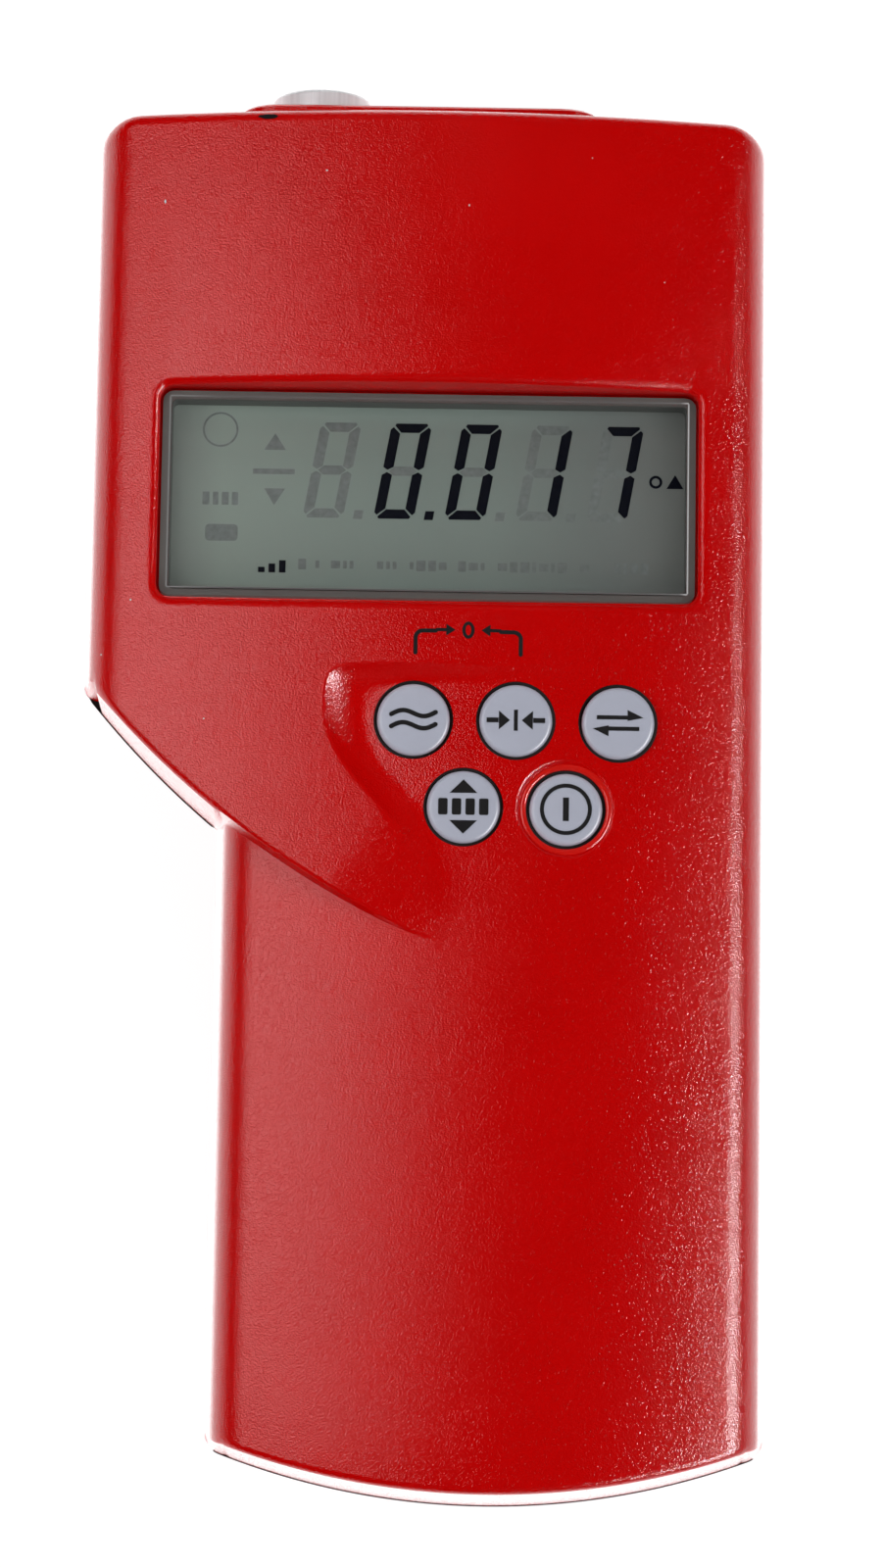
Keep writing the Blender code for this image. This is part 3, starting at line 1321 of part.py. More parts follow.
def door_seal():
    wide = BATTERY_WIDTH + 2 * BATTERY_CLEARANCE + 2 * GAP
    tall = BATTERY_LENGTH + 2 * BATTERY_CLEARANCE + 2 * GAP
    inner = rounded_rectangle(BATTERY_MID_X, DOOR_Y, wide, tall, DOOR_SEAL_WIDTH)
    outer = rounded_rectangle(
        BATTERY_MID_X, DOOR_Y, wide + 2 * DOOR_SEAL_WIDTH, tall + 2 * DOOR_SEAL_WIDTH,
        2 * DOOR_SEAL_WIDTH,
    )
    low = DOOR_THICKNESS + SLACK
    seal = ring_prism("door_seal", outer, inner, low, low + DOOR_SEAL_THICKNESS)
    return place(seal, black_rubber())


# Fasteners
def screw_mesh(name, shank, head, thickness, length):
    """A pan-head screw, its head down and its seat at z = 0, with a hexagon socket."""
    profile = [
        (0.0, length),
        (shank / 2 * 0.55, length),
        (shank / 2, length - shank * 0.4),
        (shank / 2, 0.0),
        (head / 2, 0.0),
        (head / 2, -thickness * 0.75),
        (head / 2 * 0.8, -thickness),
        (0.0, -thickness),
    ]
    screw = turned(f"{name}_blank", profile, 12)
    CUTTERS.objects.link(screw)
    socket = cylinders(
        f"{name}_socket", [(0, 0)], shank / 2 * 0.9, -thickness * 2, -thickness * 0.45, 6
    )
    boolean(screw, as_cutter(socket))
    mesh = baked(screw, name)
    bpy.data.objects.remove(screw)
    return mesh


def screws(name, mesh, places, seat):
    for number, (x, y) in enumerate(places, 1):
        copy = bpy.data.objects.new(f"{name}_{number}", mesh)
        copy.location = (x, y, seat)
        place(copy, None)


def fasteners():
    case = screw_mesh(
        "case_screw", CASE_SCREW_SHANK, CASE_SCREW_HEAD, SCREW_HEAD_THICKNESS, CASE_SCREW_LENGTH
    )
    board = screw_mesh(
        "board_screw", BOARD_SCREW_SHANK, BOARD_SCREW_HEAD, LOW_HEAD_THICKNESS, BOARD_SCREW_LENGTH
    )
    door = screw_mesh(
        "door_screw", BOARD_SCREW_SHANK, BOARD_SCREW_HEAD, LOW_HEAD_THICKNESS, DOOR_SCREW_LENGTH
    )
    for mesh in (case, board, door):
        mesh.materials.clear()
        mesh.materials.append(steel())
    screws("case_screw", case, CASE_SCREWS, CASE_SCREW_SEAT_Z - SLACK)
    screws("board_screw", board, BOARD_SCREWS, BOARD_TOP_Z - BOARD_THICKNESS - SLACK)
    screws("door_screw", door, DOOR_SCREWS, DOOR_SCREW_SINK - SLACK)


def build():
    front_case()
    rear_case()
    case_gasket()
    display_window()
    window_seal()
    lcd_glass()
    lcd_frame()
    lcd_connectors()
    stems = {name: key_cap(name) for name in KEYS}
    key_mat(stems)
    circuit_board()
    header_y, header_z = board_parts()
    pressure_port()
    port_seal()
    port_nut()
    sensor_and_tube()
    battery_parts(header_y, header_z)
    battery_door()
    door_seal()
    fasteners()


build()
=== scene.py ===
"""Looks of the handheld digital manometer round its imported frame. Metres, the part's own frame."""

import math
import random

import bmesh
import bpy
from mathutils import Matrix, Vector


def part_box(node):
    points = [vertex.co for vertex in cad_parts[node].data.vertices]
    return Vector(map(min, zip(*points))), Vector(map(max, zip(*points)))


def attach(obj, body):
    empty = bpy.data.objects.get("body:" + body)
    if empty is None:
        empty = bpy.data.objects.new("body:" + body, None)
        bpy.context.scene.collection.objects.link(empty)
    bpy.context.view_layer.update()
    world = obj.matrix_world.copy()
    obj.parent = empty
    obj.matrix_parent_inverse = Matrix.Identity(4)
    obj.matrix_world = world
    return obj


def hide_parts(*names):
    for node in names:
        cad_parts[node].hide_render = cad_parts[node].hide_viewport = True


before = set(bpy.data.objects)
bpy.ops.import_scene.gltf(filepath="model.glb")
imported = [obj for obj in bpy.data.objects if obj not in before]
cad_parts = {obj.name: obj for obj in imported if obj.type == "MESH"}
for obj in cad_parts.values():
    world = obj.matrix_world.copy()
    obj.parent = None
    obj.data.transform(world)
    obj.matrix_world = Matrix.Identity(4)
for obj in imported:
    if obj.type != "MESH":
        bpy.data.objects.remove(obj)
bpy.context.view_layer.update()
ROOT = "case"
MM = 0.001
# Shares of the handle's length at which the front has rows
HANDLE_ROWS = [0.1, 0.2, 0.3, 0.4, 0.5, 0.6, 0.7, 0.8, 0.88, 0.93, 0.965, 0.985, 0.994, 0.998]

# The outer skin of the side step and of the low end, steeper than the inside's
STEP_DRAFT = math.radians(1.6)
LOW_DRAFT = math.radians(3.7)
STEP_FILLET = 0.0010

# Window and keypad, which the head is laid out round
WINDOW_X = 0.0
WINDOW_Y = 0.03797
PANE_WIDTH = 0.0687
PANE_HEIGHT = 0.0271
WINDOW_SIDE_MARGIN = 0.01015
WINDOW_TOP_MARGIN = 0.03770
KEYS_BELOW_WINDOW = 0.01632
KEY_TOP_ROW_Y = WINDOW_Y - PANE_HEIGHT / 2 - KEYS_BELOW_WINDOW

# Board and battery, which the handle is laid out round
BOARD_BELOW_KEYS = 0.0181
BOARD_BOTTOM_Y = KEY_TOP_ROW_Y - BOARD_BELOW_KEYS
BATTERY_LENGTH = 0.0485
BATTERY_BELOW_BOARD = 0.0140
BATTERY_TOP_Y = BOARD_BOTTOM_Y - BATTERY_BELOW_BOARD
BATTERY_BOTTOM_Y = BATTERY_TOP_Y - BATTERY_LENGTH
HANDLE_END_MARGIN = 0.0175

# Outline of the case at the parting line
HEAD_HALF_WIDTH = PANE_WIDTH / 2 + WINDOW_SIDE_MARGIN
HEAD_TOP_Y = WINDOW_Y + PANE_HEIGHT / 2 + WINDOW_TOP_MARGIN
TOP_CORNER = 0.0066
HANDLE_LEFT_X = -0.0267
HANDLE_BOTTOM_Y = BATTERY_BOTTOM_Y - HANDLE_END_MARGIN
BOTTOM_RADIUS = 0.096
BOTTOM_CORNER = 0.0032
SHOULDER_Y = 0.0142
SHOULDER_CORNER = 0.0022
STEP_RADIUS = 0.1205
STEP_TIP_X = 0.0
STEP_TIP_Y = -0.0205

# Depth and section of the two mouldings
PARTING_Z = 0.0150
SEAM = 0.0008
GASKET_THICKNESS = 0.0006
GASKET_INSET = 0.0001
WALL = 0.0022
INSIDE_COLUMNS = 9
INSIDE_ROWS = 9
INSIDE_STEPS = 2
HEAD_CROWN_Z = 0.0336
HEAD_CROWN_RADIUS = 0.165
SHARED_CROWN_INSET = 0.0075
SHARED_CROWN_X = HEAD_HALF_WIDTH - SHARED_CROWN_INSET
SIDE_DRAFT = math.radians(8)
SIDE_FILLET = 0.006
END_DRAFT = math.radians(4)
END_FILLET = 0.0018
REAR_DRAFT = math.radians(4)
REAR_FILLET = 0.0045

# Window and display
PANE_CORNER = 0.0014
PANE_THICKNESS = 0.0015
PANE_TOP_Z = 0.0293
PANE_BORDER = 0.0011
PANE_LEDGE = 0.0020
RIM_ROUND = 0.0012
RIM_SHARE = 0.8
LIP_SLOPE = math.tan(math.radians(13))
SEAL_THICKNESS = 0.0004
LCD_TOP_Z = 0.0249

# Keys
KEY_PITCH = 0.01297
KEY_ROW_PITCH = 0.01115
KEY_LEFT_X = -0.0014
KEY_DIAMETER = 0.0095
KEY_HOLE_CLEARANCE = 0.0003
KEY_FLANGE = 0.0009
KEY_FLANGE_THICKNESS = 0.0008
KEY_STEM_DIAMETER = 0.0050
DISH_DEPTH = 0.0007

# Keypad recess: the handle's surface carried up into the head
RECESS_LEFT_MARGIN = 0.0114
RECESS_LEFT_X = KEY_LEFT_X - RECESS_LEFT_MARGIN
RECESS_TOP_MARGIN = 0.0071
RECESS_TOP_Y = KEY_TOP_ROW_Y + RECESS_TOP_MARGIN
RECESS_SLANT_DROP = 0.0037
RECESS_SLANT_Y = KEY_TOP_ROW_Y - RECESS_SLANT_DROP
RECESS_SLANT = math.radians(-46)
RECESS_STEEP_DROP = 0.0176
RECESS_STEEP_Y = KEY_TOP_ROW_Y - RECESS_STEEP_DROP
RECESS_STEEP = math.radians(-74)
RECESS_CORNER = 0.0016
RECESS_BLEND = 0.4
RECESS_TOP_RUN = 0.0026
RECESS_LEFT_RUN = 0.0054
RECESS_LOW_RUN = 0.0032
RECESS_LOW_SPREAD = 0.12
RECESS_POWER = 1.6
TONGUE_REACH = 0.004
TONGUE_FADE = 0.018
TONGUE_ACROSS, TONGUE_UP = 0.8, 0.6

# Circuit board
BOARD_TOP_Z = 0.0180
BOARD_SIDE_MARGIN = 0.0065
BOARD_HALF_WIDTH = HEAD_HALF_WIDTH - BOARD_SIDE_MARGIN
BOARD_TOP_MARGIN = 0.0127
BOARD_TOP_Y = HEAD_TOP_Y - BOARD_TOP_MARGIN

# Pressure port and sensor
PORT_X = -0.0148
PORT_Z = 0.0216
PORT_BOSS_DIAMETER = 0.0128
PORT_HEIGHT = 0.0029
PORT_END_Y = HEAD_TOP_Y + PORT_HEIGHT
PORT_BORE_DIAMETER = 0.0086
PORT_BORE_DEPTH = 0.0080
PORT_STEM_DIAMETER = 0.0112
PORT_REACH = 0.0082
PORT_STEM_END_Y = HEAD_TOP_Y - PORT_REACH
PORT_CHAMFER = 0.0006
PORT_PASSAGE_DIAMETER = 0.0012
PAD_LEFT_X = -0.0253
PAD_RIGHT_X = 0.0217
PAD_PROUD = 0.0005
PAD_ROUNDING = 0.8
PAD_LOW_Z = 0.0162
PAD_HIGH_Z = 0.0288
PORT_SEAL_THICKNESS = 0.0005
BARB_DIAMETER = 0.0032
BARB_LENGTH = 0.0040

# Battery compartment
BATTERY_WIDTH = 0.0265
BATTERY_CLEARANCE = 0.0010
BATTERY_OPENING_CORNER = 0.0015
DOOR_WIDTH = 0.0400
DOOR_CORNER = 0.0040
DOOR_THICKNESS = 0.0020
DOOR_END = 0.0095
DOOR_LEDGE_THICKNESS = 0.0020
DOOR_BOSS_HEIGHT = 0.0012
DOOR_SEAL_THICKNESS = 0.0006

# Fasteners
CASE_SCREW_SHANK = 0.0026
CASE_SCREW_HEAD = 0.0054
CASE_BOSS_DIAMETER = 0.0072
CASE_SCREW_SEAT_Z = 0.0075
CASE_SCREW_INSET = 0.0078
CASE_SCREW_BOTTOM_INSET = 0.0135
BOARD_SCREW_SHANK = 0.0020
BOARD_SCREW_HEAD = 0.0042
BOARD_SCREW_INSET = 0.0035
BOARD_SCREW_DROP = 0.0060
BOARD_LOW_SCREW_INSET = 0.0060
BOARD_LOW_SCREW_RISE = 0.0106
BOARD_BOSS_DIAMETER = 0.0056
DOOR_SCREW_SINK = 0.0012
SCREW_CLEARANCE = 0.0003

# Clearances and least radii
GAP = 0.0003
SLACK = 0.0002
OVERCUT = 0.0010
LEAST_CORNER = 0.0005
LEAST_FILLET = 0.0010
LEAST_END_FILLET = 0.0006
EDGE_BREAK = 0.0003

CASE_SCREWS = (
    (-HEAD_HALF_WIDTH + CASE_SCREW_INSET, HEAD_TOP_Y - CASE_SCREW_INSET),
    (HEAD_HALF_WIDTH - CASE_SCREW_INSET, HEAD_TOP_Y - CASE_SCREW_INSET),
    (HANDLE_LEFT_X + CASE_SCREW_INSET, HANDLE_BOTTOM_Y + CASE_SCREW_BOTTOM_INSET),
    (HEAD_HALF_WIDTH - CASE_SCREW_INSET, HANDLE_BOTTOM_Y + CASE_SCREW_BOTTOM_INSET),
)
BOARD_SCREWS = (
    (-BOARD_HALF_WIDTH + BOARD_SCREW_INSET, BOARD_TOP_Y - BOARD_SCREW_DROP),
    (BOARD_HALF_WIDTH - BOARD_SCREW_INSET, BOARD_TOP_Y - BOARD_SCREW_DROP),
    (-BOARD_HALF_WIDTH + BOARD_LOW_SCREW_INSET, KEY_TOP_ROW_Y + BOARD_LOW_SCREW_RISE),
    (BOARD_HALF_WIDTH - BOARD_LOW_SCREW_INSET, KEY_TOP_ROW_Y + BOARD_LOW_SCREW_RISE),
)

HANDLE_MID_X = (HANDLE_LEFT_X + HEAD_HALF_WIDTH) / 2
HANDLE_CROWN_RADIUS = HEAD_CROWN_RADIUS * (SHARED_CROWN_X - HANDLE_MID_X) / SHARED_CROWN_X
FRONT_Z = PARTING_Z + SEAM / 2
REAR_Z = PARTING_Z - SEAM / 2
BATTERY_MID_X = HANDLE_MID_X


def circle_drop(radius, offset):
    """How far a circle of this radius has fallen at a distance from its highest point."""
    return radius - math.sqrt(radius * radius - offset * offset)


SHARED_CROWN_Z = HEAD_CROWN_Z - circle_drop(HEAD_CROWN_RADIUS, SHARED_CROWN_X)
HANDLE_CROWN_Z = SHARED_CROWN_Z + circle_drop(
    HANDLE_CROWN_RADIUS, SHARED_CROWN_X - HANDLE_MID_X
)


def step_centre():
    """Centre of the step's arc, which runs through the shoulder and the tongue's tip."""
    ax, ay = -HEAD_HALF_WIDTH, SHOULDER_Y
    bx, by = STEP_TIP_X, STEP_TIP_Y
    mid_x, mid_y = (ax + bx) / 2, (ay + by) / 2
    half = math.hypot(bx - ax, by - ay) / 2
    away = math.sqrt(STEP_RADIUS**2 - half**2) / (2 * half)
    return mid_x - (by - ay) * away, mid_y + (bx - ax) * away


STEP_X, STEP_Y = step_centre()
BOTTOM_CENTRE_Y = HANDLE_BOTTOM_Y + BOTTOM_RADIUS
KEYS = {
    "key_average": (KEY_LEFT_X, KEY_TOP_ROW_Y),
    "key_tare": (KEY_LEFT_X + KEY_PITCH, KEY_TOP_ROW_Y),
    "key_units": (KEY_LEFT_X + 2 * KEY_PITCH, KEY_TOP_ROW_Y),
    "key_leak": (KEY_LEFT_X + KEY_PITCH / 2, KEY_TOP_ROW_Y - KEY_ROW_PITCH),
    "key_power": (KEY_LEFT_X + KEY_PITCH * 3 / 2, KEY_TOP_ROW_Y - KEY_ROW_PITCH),
}


def mesh_object(name, points, faces):
    mesh = bpy.data.meshes.new(name)
    mesh.from_pydata(points, [], faces)
    mesh.update()
    return bpy.data.objects.new(name, mesh)


def triangulated(obj):
    """Splits faces that aren't flat, which a Boolean would read in its own way."""
    form = bmesh.new()
    form.from_mesh(obj.data)
    bmesh.ops.triangulate(form, faces=form.faces)
    form.to_mesh(obj.data)
    form.free()
    return obj


def linked(obj):
    """Puts an object in the scene and hands it back."""
    bpy.context.scene.collection.objects.link(obj)
    return obj


def boolean(obj, other, operation="DIFFERENCE"):
    """Cuts or joins a solid with another, which finished() removes."""
    change = obj.modifiers.new(other.name, "BOOLEAN")
    change.operation = operation
    change.object = linked(other)
    change.solver = "EXACT"


# Flat outlines
def arc(cx, cy, radius, start, end, steps):
    """Points on an arc, angles in degrees, both ends included."""
    turn = [math.radians(start + (end - start) * i / steps) for i in range(steps + 1)]
    return [(cx + radius * math.cos(a), cy + radius * math.sin(a)) for a in turn]


def rounded_rectangle(cx, cy, width, height, radius, steps=4):
    x, y = width / 2 - radius, height / 2 - radius
    corners = ((x, y, 0), (-x, y, 90), (-x, -y, 180), (x, -y, 270))
    points = []
    for dx, dy, start in corners:
        points += arc(cx + dx, cy + dy, radius, start, start + 90, steps)
    return points


def prism(name, outline, low, high):
    """A flat outline, anticlockwise from above, made solid between two heights."""
    count = len(outline)
    points = [(x, y, low) for x, y in outline] + [(x, y, high) for x, y in outline]
    faces = [list(range(count))[::-1], list(range(count, 2 * count))]
    for i in range(count):
        j = (i + 1) % count
        faces.append([i, j, count + j, count + i])
    return mesh_object(name, points, faces)


def loft(name, rings):
    """A closed solid through stacked rings of as many points each, lowest ring first."""
    count = len(rings[0])
    points = [point for ring in rings for point in ring]
    faces = [list(range(count))[::-1]]
    for level in range(len(rings) - 1):
        base = level * count
        for i in range(count):
            j = (i + 1) % count
            faces.append([base + i, base + j, base + count + j, base + count + i])
    faces.append(list(range(len(points) - count, len(points))))
    return mesh_object(name, points, faces)


def cylinders(name, places, radius, low, high, steps=24):
    """One mesh of upright cylinders that stand apart, used as a cutter."""
    form = bmesh.new()
    for x, y in places:
        made = bmesh.ops.create_cone(
            form, cap_ends=True, segments=steps, radius1=radius, radius2=radius, depth=high - low
        )
        bmesh.ops.translate(form, verts=made["verts"], vec=(x, y, (low + high) / 2))
    mesh = bpy.data.meshes.new(name)
    form.to_mesh(mesh)
    form.free()
    return bpy.data.objects.new(name, mesh)


# The case's outline
def corner_on_arc(x, radius, arc_x, arc_y, arc_radius):
    """Centre of a corner that rounds an upright edge at x into the lower side of an arc."""
    reach = arc_radius - radius
    return x, arc_y - math.sqrt(reach * reach - (x - arc_x) ** 2)


def turn_of(cx, cy, x, y):
    return math.degrees(math.atan2(y - cy, x - cx)) % 360


def case_outline(inset, steps=4):
    """The case's outline at the parting line, moved inwards, anticlockwise from above."""
    left, right = -HEAD_HALF_WIDTH + inset, HEAD_HALF_WIDTH - inset
    handle, top = HANDLE_LEFT_X + inset, HEAD_TOP_Y - inset
    corner = max(BOTTOM_CORNER - inset, LEAST_CORNER)
    top_corner = max(TOP_CORNER - inset, LEAST_CORNER)
    shoulder = max(SHOULDER_CORNER - inset, LEAST_CORNER)
    low = BOTTOM_RADIUS - inset
    step = STEP_RADIUS - inset
    ax, ay = corner_on_arc(handle + corner, corner, HANDLE_MID_X, BOTTOM_CENTRE_Y, low)
    bx, by = corner_on_arc(right - corner, corner, HANDLE_MID_X, BOTTOM_CENTRE_Y, low)
    sx, sy = corner_on_arc(left + shoulder, shoulder, STEP_X, STEP_Y, step)
    turn_a = turn_of(HANDLE_MID_X, BOTTOM_CENTRE_Y, ax, ay)
    turn_b = turn_of(HANDLE_MID_X, BOTTOM_CENTRE_Y, bx, by)
    turn_s = turn_of(STEP_X, STEP_Y, sx, sy)
    inner_y = STEP_Y - math.sqrt(step**2 - (handle - STEP_X) ** 2)
    turn_in = turn_of(STEP_X, STEP_Y, handle, inner_y)
    points = arc(ax, ay, corner, 180, turn_a, steps)
    points += arc(HANDLE_MID_X, BOTTOM_CENTRE_Y, low, turn_a, turn_b, 2 * steps)[1:-1]
    points += arc(bx, by, corner, turn_b, 360, steps)
    points += arc(right - top_corner, top - top_corner, top_corner, 0, 90, steps)
    points += arc(left + top_corner, top - top_corner, top_corner, 90, 180, steps)
    points += arc(sx, sy, shoulder, 180, turn_s, steps)
    points += arc(STEP_X, STEP_Y, step, turn_s, turn_in, steps)[1:]
    return points


# The front face, as heights over the outline
class Section:
    """A cross-section: drafted wall, round edge, crown, round edge, drafted wall."""

    def __init__(self, left, right, crown_x, crown_z, crown_radius, fillet, base):
        self.left, self.right = left, right
        self.crown_x, self.crown_radius = crown_x, crown_radius
        self.crown_z = crown_z
        self.fillet, self.base = fillet, base
        self.edges = [self.edge(left, 1), self.edge(right, -1)]

    def edge(self, x, inward):
        """The round edge's centre and where it meets the wall and the crown."""
        sine, cosine = math.sin(SIDE_DRAFT), math.cos(SIDE_DRAFT)
        centre_z = self.crown_z - self.crown_radius
        start_x = x + inward * cosine * self.fillet - self.crown_x
        start_z = self.base - sine * self.fillet - centre_z
        along = inward * sine * start_x + cosine * start_z
        reach = self.crown_radius - self.fillet
        rise = -along + math.sqrt(along**2 - start_x**2 - start_z**2 + reach**2)
        round_x = self.crown_x + start_x + inward * sine * rise
        round_z = centre_z + start_z + cosine * rise
        wall_x = x + inward * sine * rise
        crown_x = self.crown_x + (round_x - self.crown_x) * self.crown_radius / reach
        return wall_x, round_x, round_z, crown_x

    def height(self, x):
        for (wall_x, round_x, round_z, crown_x), foot, inward in zip(
            self.edges, (self.left, self.right), (1, -1)
        ):
            if inward * (x - wall_x) <= 0:
                return self.base + max(inward * (x - foot), 0) / math.tan(SIDE_DRAFT)
            if inward * (x - crown_x) < 0:
                return round_z + math.sqrt(self.fillet**2 - (x - round_x) ** 2)
        return self.crown_z - circle_drop(self.crown_radius, x - self.crown_x)

    def columns(self, side, steps):
        """Places across the wall and the round edge of one side, from the outside in."""
        wall_x, round_x, round_z, crown_x = self.edges[side]
        inward = 1 - 2 * side
        foot = (self.left, self.right)[side]
        found = [foot, foot + (wall_x - foot) * 0.2, foot + (wall_x - foot) * 0.5]
        start = math.acos(max(-1, min(1, inward * (round_x - wall_x) / self.fillet)))
        end = math.acos(max(-1, min(1, inward * (round_x - crown_x) / self.fillet)))
        for i in range(steps + 1):
            turn = start + (end - start) * i / steps
            found.append(round_x - inward * self.fillet * math.cos(turn))
        return found


class EndProfile:
    """How the front rises from an end wall, as a share of the full height."""

    def __init__(self, height, fillet, draft=END_DRAFT):
        self.height, self.fillet, self.draft = height, fillet, draft
        self.wall_rise = height - fillet * (1 - math.sin(draft))
        self.wall = self.wall_rise * math.tan(draft)
        self.end = self.wall + fillet * math.cos(draft)

    def share(self, distance):
        if distance >= self.end:
            return 1.0
        if distance <= self.wall:
            return max(distance, 0) / math.tan(self.draft) / self.height
        return 1 - circle_drop(self.fillet, self.end - distance) / self.height

    def rows(self, steps):
        found = [0.0]
        for i in range(steps + 1):
            turn = self.draft + (math.pi / 2 - self.draft) * i / steps
            found.append(self.end - self.fillet * math.cos(turn))
        return found

    def distance(self, share):
        """The inverse of share, by halving."""
        low, high = 0.0, self.end
        for _ in range(40):
            middle = (low + high) / 2
            if self.share(middle) < share:
                low = middle
            else:
                high = middle
        return high


def smooth_step(value):
    value = max(0.0, min(1.0, value))
    return value * value * (3 - 2 * value)


def blend(values, ease):
    """The greatest value, eased where two are nearly equal."""
    most = max(values)
    return most + ease * math.log(sum(math.exp((value - most) / ease) for value in values))


def recess_rise(x, y):
    """How far up the keypad recess's slope a place is: 0 at its foot or below, 1 at its edge."""
    steep_x = RECESS_LEFT_X + (RECESS_STEEP_Y - RECESS_SLANT_Y) / math.tan(RECESS_SLANT)
    slant = (x - RECESS_LEFT_X) * math.sin(RECESS_SLANT)
    slant -= (y - RECESS_SLANT_Y) * math.cos(RECESS_SLANT)
    steep = (x - steep_x) * math.sin(RECESS_STEEP) - (y - RECESS_STEEP_Y) * math.cos(RECESS_STEEP)
    low_run = RECESS_LOW_RUN + RECESS_LOW_SPREAD * max(RECESS_SLANT_Y - y, 0)
    sides = [
        (y - RECESS_TOP_Y) / RECESS_TOP_RUN,
        (RECESS_LEFT_X - x) / RECESS_LEFT_RUN,
        -blend([-slant, -steep], RECESS_CORNER) / low_run,
    ]
    return min(max(blend(sides, RECESS_BLEND) + 1, 0), 1)


def raised_share(x, y):
    """1 on the head's raised face, 0 on the handle's face and in the keypad recess."""
    tip = (STEP_TIP_X + TONGUE_REACH - x) * TONGUE_ACROSS + (y - STEP_TIP_Y) * TONGUE_UP
    return recess_rise(x, y) ** RECESS_POWER * smooth_step(tip / TONGUE_FADE)


